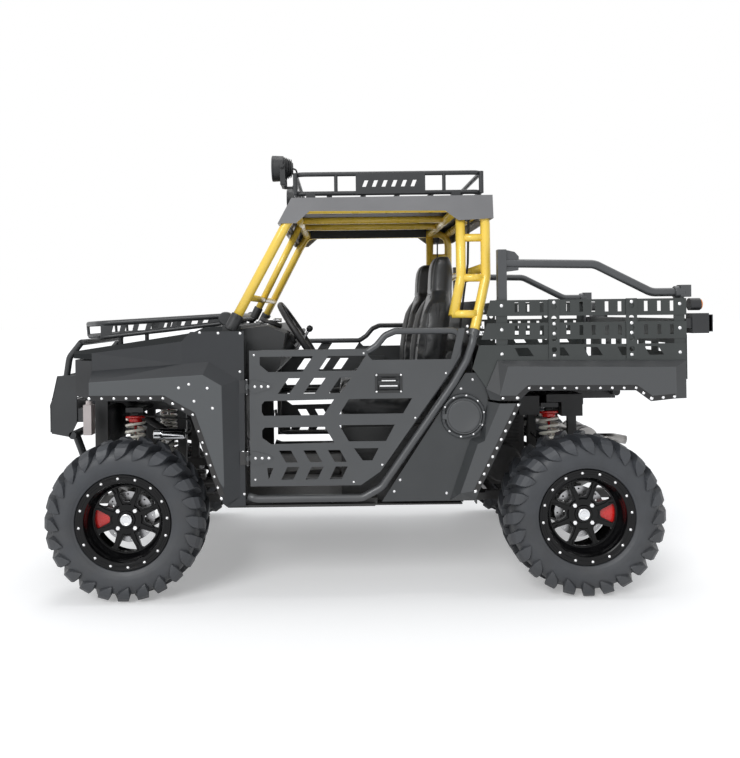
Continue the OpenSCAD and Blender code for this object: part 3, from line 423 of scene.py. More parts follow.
def soften(obj, width, segments=2, angle=35):
    """Rounds the hard edges by a bevel of that width in millimetres."""
    m = obj.modifiers.new("edge", "BEVEL")
    m.width, m.segments = width * MM, segments
    m.limit_method, m.angle_limit = "ANGLE", math.radians(angle)
    m.use_clamp_overlap = True
    m.harden_normals = True
    return m


# ------------------------------------------------------------------ wheels

def lug(shape, stations, side, angle, lean):
    """One tread block: a strip with a trapezium section laid on the carcass.

    A station is (x, radius, outward x, outward r, half width, height, degrees of lean)."""
    verts = []
    for x, r, nx, nr, half, height, turn in stations:
        for edge, up in ((-1, -3.0), (-0.8, height), (0.8, height), (1, -3.0)):
            rr, xx = r + nr * up, x + nx * up
            a = math.radians(angle + lean * turn) + edge * half / r
            verts.append((side * xx, rr * math.cos(a), rr * math.sin(a)))
    faces = []
    for i in range(len(stations) - 1):
        b = 4 * i
        faces += [(b + k, b + k + 1, b + k + 5, b + k + 4) for k in range(3)]
    end = 4 * (len(stations) - 1)
    faces += [(3, 2, 1, 0), (end, end + 1, end + 2, end + 3)]
    if side > 0:
        faces = [f[::-1] for f in faces]
    shape.add(verts, faces)


def tyre(width, bead, lean):
    """A tyre about x = 0: carcass, side ribs and staggered angled blocks."""
    s = Shape()
    h = width / 2
    side = [(bead, 179.0), (bead, 197.0), (bead + 3, 200.5), (bead + 8, 202.5), (h - 9, 214), (h - 6.5, 217),
            (h - 6.5, 221), (h - 5.0, 224), (h - 3.2, 238), (h - 3.2, 252), (h - 4.4, 264), (h - 7.5, 276),
            (h - 13, 287), (h - 22, 296), (h - 34, 302), (h - 52, 306), (h - 75, 308)]
    outer = side + [(-x, r) for x, r in side[::-1]]
    inner = [(-bead + 12, 179), (-h + 18, 215), (-h + 14, 258), (-h + 24, 290), (-h + 60, 303),
             (h - 60, 303), (h - 24, 290), (h - 14, 258), (h - 18, 215), (bead - 12, 179)]
    s.lathe(outer + inner, n=120)
    blocks = 24
    for sgn in (1, -1):
        for i in range(blocks):
            a = (i + (0.5 if sgn < 0 else 0)) * 360 / blocks
            stations = [
                (8, 308, 0, 1, 15, 22, -9.0), (26, 308, 0, 1, 17, 25, -6.6),
                (h * 0.42, 308, 0, 1, 19, 26.5, -4.2), (h - 48, 306, 0.05, 1, 23, 27, -1.9),
                (h - 30, 302, 0.3, 0.95, 27, 26.5, -0.6), (h - 17, 296, 0.58, 0.81, 29, 20, 0.3),
                (h - 9, 288, 0.88, 0.48, 27, 12, 1.2), (h - 5.0, 279, 0.97, 0.24, 20, 9.5, 2.2),
                (h - 4.0, 271, 1, 0.1, 12, 8.0, 3.4), (h - 4.0, 263, 1, 0.05, 4, 6.0, 5.0)]
            lug(s, stations, sgn, a, lean)
    return s


SPOKES = 8


def wheel_window(angle, inner=72, outer=137):
    """Outline of one opening between two spokes, with round corners."""
    pts = [(inner, -8), (inner, 8), (inner + 6, 16), (120, 38), (127, 40), (132, 36)]
    edge = [polar(outer, t) for t in (12, 6, 0, -6, -12)]
    pts = pts + edge + [(132, -36), (127, -40), (120, -38), (inner + 6, -16)]
    c, s = math.cos(math.radians(angle)), math.sin(math.radians(angle))
    return [(x * c - y * s, x * s + y * c) for x, y in pts]


def rim(half):
    """The painted part of a rim, in vehicle x about its hub: ring, dish, barrel and eight spokes."""
    inner = 738 - 2 * half
    s = Shape()
    # Bead ring with a stepped face
    s.lathe([(729, 178), (729, 197), (731, 199), (736, 199), (738, 197), (738, 190), (736.5, 188.5),
             (736.5, 180), (738, 178.5), (738, 169), (735, 165), (726, 162.5), (712, 161),
             (712, 168), (726, 172)], n=96)
    # Dish from the ring down to the spokes
    s.lathe([(712, 168), (712, 160), (700, 158), (690, 153), (680, 146), (674, 143), (674, 139), (660, 139),
             (660, 146), (676, 154), (686, 164), (694, 168)], n=96)
    # Barrel and inner flange
    s.lathe([(inner, 168), (inner, 197), (inner + 2, 199), (inner + 7, 199), (inner + 9, 197),
             (inner + 9, 178), (729, 178), (729, 172), (inner + 12, 172), (inner + 6, 168)], n=96)
    s.prism(circle(142, 96), 657, 671, [wheel_window(45 * i) for i in range(SPOKES)])
    # A raised rib along each spoke, forked towards the dish
    rib = [(50, -8), (100, -5), (134, -11), (139, -7), (112, 0), (139, 7), (134, 11), (100, 5), (50, 8)]
    for i in range(SPOKES):
        s.prism(rib, 670, 676, matrix=Matrix.Rotation(math.radians(22.5 + 45 * i), 4, "X"))
    s.lathe([(650, 20), (650, 62), (671, 66), (676, 62), (677, 38), (681, 35), (681, 28), (672, 20)], n=64)
    return s


def wheel(axle, side, width, half, y, lean):
    """The visible pieces of one wheel, made on the left and mirrored for the right."""
    body = f"{axle}_{side}_wheel"
    left = side == "left"
    turn = Matrix.Translation((0, y, HUB_Z)) @ (Matrix() if left else MIRROR)

    def placed(shape, matrix=None):
        return Shape().merge(shape, turn @ (matrix or Matrix()), flip=not left)

    centre = Matrix.Translation((750 - width / 2, 0, 0))
    placed(tyre(width, half - 9.3, lean), centre).finish(
        body + "_tread", RUBBER, body, "tyre_rubber", 1.6, 1, [f"{axle}_{side}_tyre"], 40)
    placed(rim(half)).finish(body + "_rim", RIM, body, "rim_black", 1.2, 2, [f"{axle}_{side}_rim"])

    bolts = Shape()
    for i in range(16):
        bolts.bolt((736.5, *polar(184.3, 22.5 * i + 6)), (1, 0, 0), 4.6, 5, 10)
    for i in range(4):
        bolts.hexbolt((671, *polar(51, 45 + 90 * i)), (1, 0, 0), 9.5, 12)
    placed(bolts).finish(body + "_bolts", SILVER, body)

    cap = Shape().lathe([(672, 0), (672, 27), (686, 27), (691, 24), (692.5, 19), (690, 17.5), (690, 8),
                         (691, 6), (691, 0)], n=48)
    placed(cap).finish(body + "_cap", CHROME, body)

    disc = Shape()
    holes = [circle(4, 8, polar(r, off + 22.5 * i))
             for r, off in ((68, 0), (82, 11.25), (97, 3)) for i in range(16)]
    edge = [polar(107 + 1.6 * math.cos(math.radians(8 * a)), a) for a in (360 * i / 128 for i in range(128))]
    disc.prism(edge, 625, 631, holes + [circle(34, 32)])
    disc.lathe([(631, 14.5), (631, 46), (640, 50), (657, 52), (657, 14.5)], n=48)
    disc.rod((562, 0, 0), (657, 0, 0), 14, 32, 2)
    placed(disc).finish(body + "_brake_disc", STEEL, body, bevel=0.6)


for axle, width, half, y, lean in (("front", 230, 103, FRONT_Y, 1), ("rear", 262, 119, REAR_Y, -1)):
    for side in ("left", "right"):
        wheel(axle, side, width, half, y, lean)


# ------------------------------------------------------------------ CAD nodes that stay

KEPT = [
    (CHASSIS, 1.5, ["frame", "upper_frames", "suspension_arms", "door_hinges"]),
    (CORE, 1.5, ["radiator"]),
    (BOTTLE, 9, ["coolant_bottle"]),
    (PLASTIC, 2.5, ["floor_pan", "cabin_walls", "seat_base", "dashboard", "steering_column", "air_box"]),
    (GLOSS, 6, ["hood"]),
    (QUARTER, 1.2, ["rear_panels"]),
    (FLARE, 1.2, ["front_fenders"]),
    (BED_FLARE, 1.2, ["bed_flares"]),
    (ROOF_PAINT, 1.2, ["roof"]),
    (BOARD_PAINT, 1.2, ["bed_side_boards", "tailgate"]),
    (PAINT_LIGHT, 1.2, ["left_door_plate", "right_door_plate", "fuel_flap"]),
    (CHASSIS, 1.5, ["bed_tub", "tail_lamps", "front_fascia"]),
    (CAST, 2.5, ["front_left_knuckle", "front_right_knuckle", "rear_knuckles", "engine_block", "driveline"]),
    (RED, 3.5, ["front_left_caliper", "front_right_caliper", "rear_calipers"]),
    (STEEL, 1.2, ["tie_rods"]),
    (MUFFLER, 6, ["muffler"]),
]
for mat, width, names in KEPT:
    for n in names:
        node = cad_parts[n]
        node.data.materials.clear()
        node.data.materials.append(mat)
        soften(node, width, 2, 30)


# ------------------------------------------------------------------ rays on the side panels

def on_side(tree, y, z):
    """Outermost point and normal of the left side at that height and length, in millimetres."""
    hit = tree.ray_cast(Vector((1.2, y * MM, z * MM)), Vector((-1, 0, 0)))
    if hit[0] is None:
        return None, None
    n = hit[1] if hit[1].x > 0 else -hit[1]
    return hit[0] / MM, n


def evenly(route, step):
    """Points along a route of (y, z), a nearly even step apart."""
    out = []
    for (a, b), (c, d) in zip(route, route[1:]):
        size = math.hypot(c - a, d - b)
        n = max(1, round(size / step))
        out += [(a + (c - a) * i / n, b + (d - b) * i / n) for i in range(n)]
    return out + [route[-1]]


def rivets(name, node, points, body=BODY, r=6.0, h=4.0):
    """Bolt heads on a side panel at points of (y, z), and the same on the right."""
    tree = tree_of(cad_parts[node].data)
    s = Shape()
    for y, z in points:
        p, n = on_side(tree, y, z)
        if p is not None:
            s.bolt(p, n, r, h, 10)
    s.both().finish(name, SILVER, body)


def edge_strip(name, node, route, body=BODY, half=10):
    """A dark moulding along an arch's edge, laid on the panel."""
    lift = 1.4
    tree = tree_of(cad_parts[node].data)
    s = Shape()
    pts = [Vector((0, *p)) for p in evenly(route, 18)]
    rows = []
    for i, p in enumerate(pts):
        a, b = pts[max(0, i - 1)], pts[min(len(pts) - 1, i + 1)]
        d = (b - a).normalized()
        side = Vector((0, -d.z, d.y))
        row = []
        for k in (-1, 1):
            q = p + side * half * k
            hit, n = on_side(tree, q.y, q.z)
            if hit is None:
                hit, n = on_side(tree, p.y, p.z)
                if hit is None:
                    break
                hit = Vector((hit.x - 2, q.y, q.z))
            row.append((hit, n))
        if len(row) == 2:
            rows.append([row[0][0] - row[0][1], row[0][0] + row[0][1] * lift,
                         row[1][0] + row[1][1] * lift, row[1][0] - row[1][1]])
    verts = [v for r in rows for v in r]
    faces = []
    for i in range(len(rows) - 1):
        b = 4 * i
        faces += [(b + k, b + 4 + k, b + 4 + (k + 1) % 4, b + (k + 1) % 4) for k in range(4)]
    e = 4 * (len(rows) - 1)
    faces += [(0, 1, 2, 3), (e + 3, e + 2, e + 1, e)]
    s.add(verts, faces)
    s.both().finish(name, STRIP, body, bevel=0.6)


rivets("flare_bolts", "front_fenders",
       [(-779, 890), (-737, 904), (-661, 887), (-716, 834), (-640, 804)], r=4.6, h=3.2)
edge_strip("front_arch_strip", "front_fenders",
           [(-1150, 850), (-843, 848), (-722, 779), (-698, 709), (-635, 521), (-602, 430)], half=11)
edge_strip("rear_arch_strip", "rear_panels", [(626, 803), (446, 447)])
edge_strip("bed_arch_strip", "bed_flares",
           [(552, 830), (622, 830), (669, 872), (1115, 868), (1178, 822), (1276, 830)], "cargo_bed")
rivets("front_arch_bolts", "front_fenders",
       evenly([(-1149, 849), (-845, 847), (-721, 778), (-697, 709), (-634, 520), (-608, 428)], 54))
rivets("rear_arch_bolts", "rear_panels", evenly([(624, 800), (443, 446)], 40))
rivets("bed_arch_bolts", "bed_flares",
       evenly([(562, 829), (622, 829), (671, 870), (1114, 866), (1178, 821), (1272, 828)], 50), "cargo_bed")
rivets("front_panel_bolts", "front_fenders",
       [(-696, 1116), (-619, 1113), (-527, 1111), (-530, 951), (-523, 870), (-520, 615), (-520, 569),
        (-517, 440)], r=4.5)
rivets("rear_panel_bolts", "rear_panels",
       [(135, 488), (110, 440), (330, 430), (395, 867), (445, 905), (470, 720)], r=4.5)
rivets("board_bolts", "bed_side_boards",
       [(y, z) for y in (567, 1312) for z in (1213, 1112, 1010)]
       + [(y, z) for z in (1224, 1135, 1094, 1002) for y in (785, 1109)], "cargo_bed", 5.5)


# ------------------------------------------------------------------ bent tubes

TUBE_N = 20


def tube_piece(name, parts, mat, body, slot, replaces=(), extra=None, mirror=True, bevel=0.0):
    """Bars of (route, diameter, bend radius) on the left side, mirrored, and a function that adds the rest."""
    s = Shape()
    for route, d, bend in parts:
        s.tube(route, d / 2, bend, TUBE_N)
    if mirror:
        s.both()
    if extra:
        extra(s)
    return s.finish(name, mat, body, slot, bevel, 2, replaces)


tube_piece("side_hoop_tubes", [
    ([(690, -503, 430), (690, -468, 417), (690, -23, 417), (690, 57, 460), (690, 362, 890),
      (690, 418, 985), (690, 444, 1060), (674, 452, 1100)], 32, 60),
    ([(655, -400, 398), (690, -400, 413)], 22, 0), ([(655, -150, 398), (690, -150, 413)], 22, 0)],
    TUBE, BODY, "tube_grey", ["side_hoops"])

CAGE_X, RAIL_Z = 590, 1640


def cage_cross(s):
    for y in (-300, 414, 520):
        s.rod((-CAGE_X, y, RAIL_Z), (CAGE_X, y, RAIL_Z), 20, TUBE_N)
    s.rod((-CAGE_X - 8, 519, 1380), (CAGE_X + 8, 519, 1380), 20, TUBE_N)
    s.tube([(0, -536, 1190), (0, -305, RAIL_Z)], 17, 0, TUBE_N)
    s.rod((-CAGE_X - 18, -500, 1262), (CAGE_X + 18, -500, 1262), 15, TUBE_N)
    for sgn in (-1, 1):
        s.rod((sgn * 150, -300, RAIL_Z), (sgn * 150, 414, RAIL_Z), 17, TUBE_N)


tube_piece("cage_tubes", [
    ([(648, -562, 1150), (CAGE_X + 10, -338, 1570), (CAGE_X, -292, RAIL_Z), (CAGE_X, 521, RAIL_Z),
      (CAGE_X + 14, 519, 1337), (652, 466, 1138), (668, 452, 1092)], 42, 75),
    ([(CAGE_X, 414, RAIL_Z), (CAGE_X + 14, 413, 1337), (640, 372, 1172)], 42, 60),
    ([(641, 366, 1180), (650, 470, 1180)], 34, 0),
    ([(606, 413, 1335), (606, 519, 1335)], 34, 0),
    ([(594, 413, 1508), (594, 519, 1508)], 34, 0)],
    YELLOW, BODY, "cage_yellow", ["roll_cage"], cage_cross)

# Clamp sleeves at the feet of the front pillars, and bolted shoes at the rear ones
sleeves = Shape()
foot, up = Vector((648, -562, 1150)), (Vector((600, -338, 1570)) - Vector((648, -562, 1150))).normalized()
sleeves.rod(foot - up * 30, foot + up * 44, 27, 28, 3)
sleeves.box((628, -606, 1112), (664, -560, 1146))
sleeves.rod((0, -546, 1170), (0, -520, 1222), 22, 24, 2)
for t in (0.15, 0.85):
    p = foot - up * 30 + up * 74 * t
    sleeves.hexbolt(p + Vector((25, 0, 0)), (1, 0, 0), 6, 6)
sleeves.both()
sleeves.finish("pillar_clamps", PLASTIC, BODY, bevel=1.2)

shoes = Shape()
low, d = Vector((668, 452, 1092)), (Vector((652, 466, 1138)) - Vector((668, 452, 1092))).normalized()
shoes.rod(low - d * 10, low + d * 22, 24.5, 28, 2)
shoes.both()
shoes.finish("pillar_shoes", TUBE, BODY, bevel=1)
shoebolts = Shape()
for dy, dz in ((-30, 10), (-30, 34), (30, 6), (30, 30)):
    shoebolts.bolt((684, 455 + dy, 1094 + dz), (1, 0, 0), 5, 5)
shoebolts.both()
shoebolts.finish("pillar_bolts", SILVER, BODY)

DOOR_TUBE = [(685.7, *p) for p in [(-476, 1026), (2, 1026), (42, 1052), (78, 1094), (120, 1112), (396, 1112),
                                   (384, 1011), (344, 945), (48, 540), (-34, 487), (-476, 487)]]
for sgn, side in ((1, "left"), (-1, "right")):
    s = Shape()
    start = (685.7, -476, 760)
    s.tube([start] + DOOR_TUBE + [start], 14, 42, TUBE_N)
    s.tube([(685.7, -476, 740), (685.7, 178, 740)], 11, 0, TUBE_N)
    if sgn < 0:
        s = Shape().merge(s, MIRROR, flip=True)
    s.finish(side + "_door_tubes", TUBE, side + "_door", "tube_grey", replaces=[side + "_door_frame"])


def rack_cross(s):
    for y in (-1200, -1080, -960, -840, -720):
        z = 1094 + (y + 1200) * 0.11
        s.box((-470, y - 12, z), (470, y + 12, z + 6))
    s.rod((-520, -614, 1172), (520, -614, 1172), 22, 24, 3)
    s.rod((-470, -640, 1172), (470, -640, 1172), 11, 16)
    for sgn in (-1, 1):
        # Tapered side plate with slanted slots
        slots = []
        for i in range(8):
            y = -1130 + i * 58
            z0, z1 = 1112 + i * 6.0, 1146 + i * 3.4
            slots.append([(y, z0), (y + 34, z0 + 2), (y + 42, z1), (y + 8, z1 - 1)])
        x0, x1 = sorted((sgn * 468, sgn * 473))
        s.prism([(-1178, 1094), (-640, 1150), (-640, 1184), (-1178, 1160)], x0, x1, slots)
        for y, z in ((-1150, 1097), (-700, 1143)):
            s.rod((sgn * 250, y, 1046 + (y + 1150) * 0.1), (sgn * 250, y, z + 4), 11, 16)
        # Pivot clamp
        s.rod((sgn * 466, -614, 1172), (sgn * 526, -614, 1172), 30, 32, 4)
        s.box((min(sgn * 476, sgn * 516), -626, 1110), (max(sgn * 476, sgn * 516), -602, 1160))


tube_piece("front_rack_tubes", [
    ([(0, -1280, 1152), (330, -1280, 1152), (470, -1180, 1157), (470, -640, 1183)], 24, 90),
    ([(0, -1276, 1098), (330, -1276, 1098), (470, -1176, 1094), (470, -640, 1150)], 20, 90),
    ([(330, -1280, 1152), (330, -1276, 1098)], 14, 0), ([(120, -1280, 1152), (120, -1276, 1098)], 14, 0)],
    RACK, BODY, "rack_black", ["front_rack"], rack_cross, bevel=0.8)


def roof_rack_rest(s):
    for y in (-150, 0, 150, 300, 430):
        s.box((-560, y - 12, 1708), (560, y + 12, 1714))
    for sgn in (-1, 1):
        slots = [[(-6 + i * 42 + a, 1737 + b) for a, b in ((0, 0), (16, 0), (27, 28), (11, 28))] for i in range(6)]
        x0, x1 = sorted((sgn * 566, sgn * 570))
        s.prism([(-34, 1706), (268, 1706), (268, 1797), (-34, 1797)], x0, x1, slots)
        for y in (-230, 400):
            s.box((min(sgn * 540, sgn * 575), y - 20, 1688.5), (max(sgn * 540, sgn * 575), y + 20, 1712))
        for y in (-296, 512):
            s.rod((sgn * 560, y, 1705), (sgn * 560, y, 1801), 10.5, 16, 1.5)
        for y in (-120, 350):
            s.rod((sgn * 560, y, 1711), (sgn * 560, y, 1795), 8, 16)


rail = []
for z in (1711, 1795):
    rail.append(([(0, -296, z), (560, -296, z), (560, 512, z), (0, 512, z)], 20, 46))
tube_piece("roof_rack_tubes", rail, RACK, BODY, "rack_black", ["roof_rack"], roof_rack_rest, bevel=0.8)


def hoop_rest(s):
    for sgn in (-1, 1):
        lo, hi = sorted((sgn * 643, sgn * 681))
        s.box((lo, 556, 865), (hi, 594, 1450))
        s.box((min(sgn * 643, sgn * 681), 1322, 866), (max(sgn * 643, sgn * 681), 1334, 1292))
        s.box((min(sgn * 638, sgn * 686), 1322, 1241), (max(sgn * 638, sgn * 686), 1366, 1292))
        s.prism([(594, 1356), (646, 1362), (648, 1420), (630, 1440), (594, 1448)],
                *sorted((sgn * 654, sgn * 670)))
        s.rod((sgn * 662, 1300, 1262), (sgn * 662, 1342, 1262), 26, 28, 3)


tube_piece("bed_hoop_tubes", [([(662, 590, 1392), (662, 968, 1384), (662, 1207, 1262), (662, 1330, 1262)], 36, 80)],
           TUBE, "cargo_bed", "tube_grey", ["bed_hoops"], hoop_rest, bevel=2.5)


def bumper_rest(s):
    outline = [(-1420, 915), (-1446, 803), (-1455, 780), (-1448, 649), (-1364, 632), (-1330, 700), (-1330, 919)]
    for sgn in (-1, 1):
        s.prism(outline, *sorted((sgn * 340, sgn * 348)))
        lo, hi = sorted((sgn * 180, sgn * 340))
        s.box((lo, -1332, 700), (hi, -1290, 760))
    face = [(-348, 655), (348, 655), (348, 779), (-348, 779)]
    win = [[(-190, 700), (190, 700), (190, 772), (-190, 772)]]
    s.prism([(a, b) for a, b in face], -1454, -1448, win, axis=1)
    s.box((-348, -1446, 803), (348, -1440, 812))
    slots = [[(x, 828), (x + 60, 828), (x + 60, 850), (x, 850)] for x in (-300, -215, -130, 70, 155, 240)]
    lean = Matrix.Translation((0, -1446, 803)) @ Matrix.Rotation(-math.radians(13), 4, "X") @ \
        Matrix.Translation((0, 0, -803))
    s.prism([(-348, 803), (348, 803), (348, 915), (-348, 915)], 0, 5, slots, axis=1, matrix=lean)
    s.rod((-330, -1312, 1068), (330, -1312, 1068), 14.5, TUBE_N)
    s.rod((-348, -1352, 640), (348, -1352, 640), 18, TUBE_N)


tube_piece("bumper_tubes", [
    ([(330, -1382, 905), (330, -1367, 1000), (330, -1312, 1068)], 30, 60),
    ([(300, -1352, 640), (210, -1275, 330)], 36, 0)],
    RACK, BODY, "rack_black", ["front_bumper"], bumper_rest, bevel=1.2)


# ------------------------------------------------------------------ shocks and springs

def axis_frame(p, q):
    d = (q - p).normalized()
    u = Vector((0, 1, 0))
    u = (u - d * u.dot(d)).normalized()
    return d, u, d.cross(u)


coils, silver, black, red = Shape(), Shape(), Shape(), Shape()
for y, fy, hy in ((FRONT_Y, -44, -44), (REAR_Y, -55, -55)):
    p, q = Vector((392, y + fy, 292)), Vector((340, y + hy, 742))
    d, u, w = axis_frame(p, q)
    size = (q - p).length

    def along(t):
        return p + (q - p) * t
    lo, hi, turns, radius = 0.283, 0.932, 11.5, 41
    pts = []
    for i in range(int(turns * 22) + 1):
        f = i / (turns * 22)
        # The end turns lie closer together
        g = f + 0.035 * math.sin(2 * math.pi * f)
        a = 2 * math.pi * turns * f
        pts.append(along(lo + (hi - lo) * g) + (u * math.cos(a) + w * math.sin(a)) * radius)
    coils.tube(pts, 6.2, 0, 10)
    silver.rod(along(0.16), along(0.90), 9, 20)
    silver.rod(along(0.30), along(0.52), 23, 32, 1)
    for k in range(14):
        silver.rod(along(0.305 + k * 0.015), along(0.311 + k * 0.015), 24.4, 32)
    black.rod(along(0.05), along(0.30), 24, 32, 3)
    black.rod(along(0.25), along(0.275), 48, 40, 3)
    black.rod(along(0.60), along(0.68), 17, 24, 4)
    red.rod(along(0.94), along(0.965), 46, 40, 3)
    red.rod(along(0.90), along(0.94), 30, 32, 3)
    black.rod(p + Vector((0, -17, 0)), p + Vector((0, 17, 0)), 15, 24, 2)
    black.rod(q + Vector((0, -17, -10)), q + Vector((0, 17, -10)), 14, 24, 2)
    silver.hexbolt(p + Vector((0, 21, 0)), (0, 1, 0), 8, 7)
    silver.hexbolt(p + Vector((0, -21, 0)), (0, -1, 0), 8, 7)
coils.both().finish("spring_coils", CREAM, BODY, "spring_cream", replaces=["coil_springs"])
black.both().finish("shock_bodies", PLASTIC, BODY, replaces=["shock_absorbers"], bevel=0.8)
silver.both().finish("shock_rods", CHROME, BODY)
red.both().finish("shock_caps", RED, BODY, bevel=0.6)

# Remote reservoirs beside the front springs and a hose to each
cans = Shape()
cans.lathe([(0, 0), (0, 20), (4, 24), (30, 24), (32, 26), (44, 26), (46, 24), (138, 24), (144, 18), (144, 0)][::-1],
           (404, -962, 650), (0, 1, 0), 32)
cans.both().finish("shock_reservoirs", CHROME, BODY)
hoses = Shape()
hoses.tube([(404, -818, 650), (404, -785, 668), (380, -800, 712), (352, -1010, 726), (345, -1045, 718)], 5, 24, 12)
hoses.tube([(574, -1016, 470), (520, -985, 560), (420, -900, 600), (240, -905, 600)], 4, 60, 10)
hoses.tube([(574, 904, 470), (520, 880, 560), (420, 800, 590), (240, 790, 610)], 4, 60, 10)
hoses.both().finish("brake_hoses", STRIP, BODY)


# ------------------------------------------------------------------ seats

SEAT_X = 330


def loft(rows):
    """A closed mesh through rings of points with one count."""
    n = len(rows[0])
    verts = [v for r in rows for v in r]
    faces = [(i * n + k, i * n + (k + 1) % n, (i + 1) * n + (k + 1) % n, (i + 1) * n + k)
             for i in range(len(rows) - 1) for k in range(n)]
    e = (len(rows) - 1) * n
    faces += [tuple(range(n - 1, -1, -1)), tuple(e + k for k in range(n))]
    return verts, faces


def interp(table, t):
    for (a, *u), (b, *w) in zip(table, table[1:]):
        if t <= b:
            f = (t - a) / (b - a) if b > a else 0
            f = f * f * (3 - 2 * f)
            return [x + (y - x) * f for x, y in zip(u, w)]
    return list(table[-1][1:])


def back_ring(t):
    """One level ring of the seat's back. t runs from 0 at its foot to 1 at the top of the head."""
    z, y, half, thick, wing = interp([
        (0.00, 800, 292, 205, 78, 12), (0.10, 850, 290, 222, 88, 22), (0.35, 1010, 308, 226, 84, 38),
        (0.55, 1130, 326, 220, 82, 42), (0.65, 1196, 338, 206, 80, 40), (0.71, 1240, 348, 180, 80, 28),
        (0.75, 1268, 354, 146, 80, 12), (0.78, 1290, 355, 114, 80, 4), (0.88, 1372, 359, 104, 82, 2),
        (0.94, 1420, 362, 101, 80, 0), (0.98, 1447, 363, 92, 68, 0), (1.00, 1454, 364, 78, 46, 0)], t)
    ring = []
    for k in range(40):
        a = 2 * math.pi * k / 40
        c, s = math.cos(a), math.sin(a)
        x = half * math.copysign(abs(c) ** 0.5, c)
        yy = thick / 2 * math.copysign(abs(s) ** 0.55, s)
        # The wings come forward at the sides of the front face
        if s < 0:
            yy -= wing * min(1, max(0, (abs(x) / half - 0.45) / 0.4)) ** 1.3
        ring.append((x, y + yy, z))
    return ring


def cushion_ring(t):
    """One upright ring of the seat's cushion. t runs from 0 at its front edge to 1 at the back."""
    y, mid, half, thick, wing = interp([
        (0.00, -118, 790, 190, 60, 4), (0.06, -104, 788, 212, 100, 10), (0.25, -40, 785, 224, 118, 20),
        (0.60, 80, 770, 226, 106, 28), (0.90, 190, 758, 222, 96, 26), (1.00, 222, 756, 205, 66, 18)], t)
    ring = []
    for k in range(40):
        a = 2 * math.pi * k / 40
        c, s = math.cos(a), math.sin(a)
        x = half * math.copysign(abs(c) ** 0.5, c)
        z = mid + thick / 2 * math.copysign(abs(s) ** 0.55, s)
        if s > 0:
            z += wing * min(1, max(0, (abs(x) / half - 0.45) / 0.4)) ** 1.3
        ring.append((x, y, z))
    return ring


def inflated(name, verts, faces, cap, pinned=lambda v: False):
    """A pad swollen by a cloth simulation with inner pressure. Lengths in metres."""
    me = bpy.data.meshes.new(name)
    me.from_pydata([tuple(c * MM for c in v) for v in verts], [], faces)
    obj = bpy.data.objects.new(name, me)
    scene = bpy.context.scene
    scene.collection.objects.link(obj)
    bpy.context.view_layer.objects.active = obj
    for o in bpy.context.selected_objects:
        o.select_set(False)
    obj.select_set(True)
    mod = obj.modifiers.new("remesh", "REMESH")
    mod.mode, mod.voxel_size, mod.use_smooth_shade = "VOXEL", 0.006, True
    bpy.ops.object.modifier_apply(modifier=mod.name)
    start = [v.co.copy() for v in obj.data.vertices]
    cloth = obj.modifiers.new("cloth", "CLOTH")
    cloth.settings.use_pressure = True
    cloth.settings.uniform_pressure_force = 4.0
    cloth.settings.effector_weights.gravity = 0.0
    cloth.settings.quality = 4
    cloth.settings.tension_stiffness = 12
    cloth.settings.compression_stiffness = 12
    cloth.point_cache.frame_start, cloth.point_cache.frame_end = 1, 20
    group = obj.vertex_groups.new(name="pin")
    group.add([v.index for v in obj.data.vertices if pinned(v.co / MM)], 1.0, "REPLACE")
    cloth.settings.vertex_group_mass = "pin"
    for f in range(1, 21):
        scene.frame_set(f)
    bpy.ops.object.modifier_apply(modifier=cloth.name)
    scene.frame_set(1)
    for v, s in zip(obj.data.vertices, start):
        d = v.co - s
        if d.length > cap * MM:
            v.co = s + d * (cap * MM / d.length)
    smooth = obj.modifiers.new("smooth", "SMOOTH")
    smooth.factor, smooth.iterations = 0.5, 3
    bpy.ops.object.modifier_apply(modifier=smooth.name)
    obj.data.polygons.foreach_set("use_smooth", [True] * len(obj.data.polygons))
    return obj


def groove(obj, lines, depth, width, face):
    """Presses sewn channels into a pad. A line is a list of points in the plane that face gives."""
    for v in obj.data.vertices:
        p = v.co / MM
        f = face(p)
        if f is None:
            continue
        a, b, inward = f
        best = 1e9
        for line in lines:
            for (x0, y0), (x1, y1) in zip(line, line[1:]):
                dx, dy = x1 - x0, y1 - y0
                t = max(0, min(1, ((a - x0) * dx + (b - y0) * dy) / (dx * dx + dy * dy)))
                best = min(best, math.hypot(a - x0 - dx * t, b - y0 - dy * t))
        if best < width * 3:
            v.co += Vector(inward) * depth * MM * math.exp(-(best / width) ** 2)


def piping(obj, lines, origin, ray, r):
    """Thin welts laid on a pad along lines of (a, b), found by rays."""
    tree = BVHTree.FromPolygons([v.co for v in obj.data.vertices], [tuple(p.vertices) for p in obj.data.polygons])
    s = Shape()
    for line in lines:
        pts = []
        for (x0, y0), (x1, y1) in zip(line, line[1:]):
            n = max(2, int(math.hypot(x1 - x0, y1 - y0) / 12))
            for i in range(n + 1):
                a, b = x0 + (x1 - x0) * i / n, y0 + (y1 - y0) * i / n
                hit = tree.ray_cast(Vector(origin(a, b)) * MM, Vector(ray))
                if hit[0] is not None:
                    q = hit[0] / MM
                    if not pts or (q - pts[-1]).length > 5:
                        pts.append(q)
        if len(pts) > 2:
            s.tube(pts, r, 0, 8)
    return s


BACK_LINES = [[(-118, 840), (-126, 1000), (-122, 1130), (-100, 1225), (-78, 1272)],
              [(118, 840), (126, 1000), (122, 1130), (100, 1225), (78, 1272)],
              [(-78, 1272), (78, 1272)], [(-70, 1300), (-66, 1430)], [(70, 1300), (66, 1430)],
              [(-120, 930), (120, 930)], [(-124, 1030), (124, 1030)], [(-122, 1130), (122, 1130)]]
CUSHION_LINES = [[(-130, -90), (-132, 60), (-128, 215)], [(130, -90), (132, 60), (128, 215)],
                 [(-130, 0), (130, 0)], [(-130, 90), (130, 90)]]

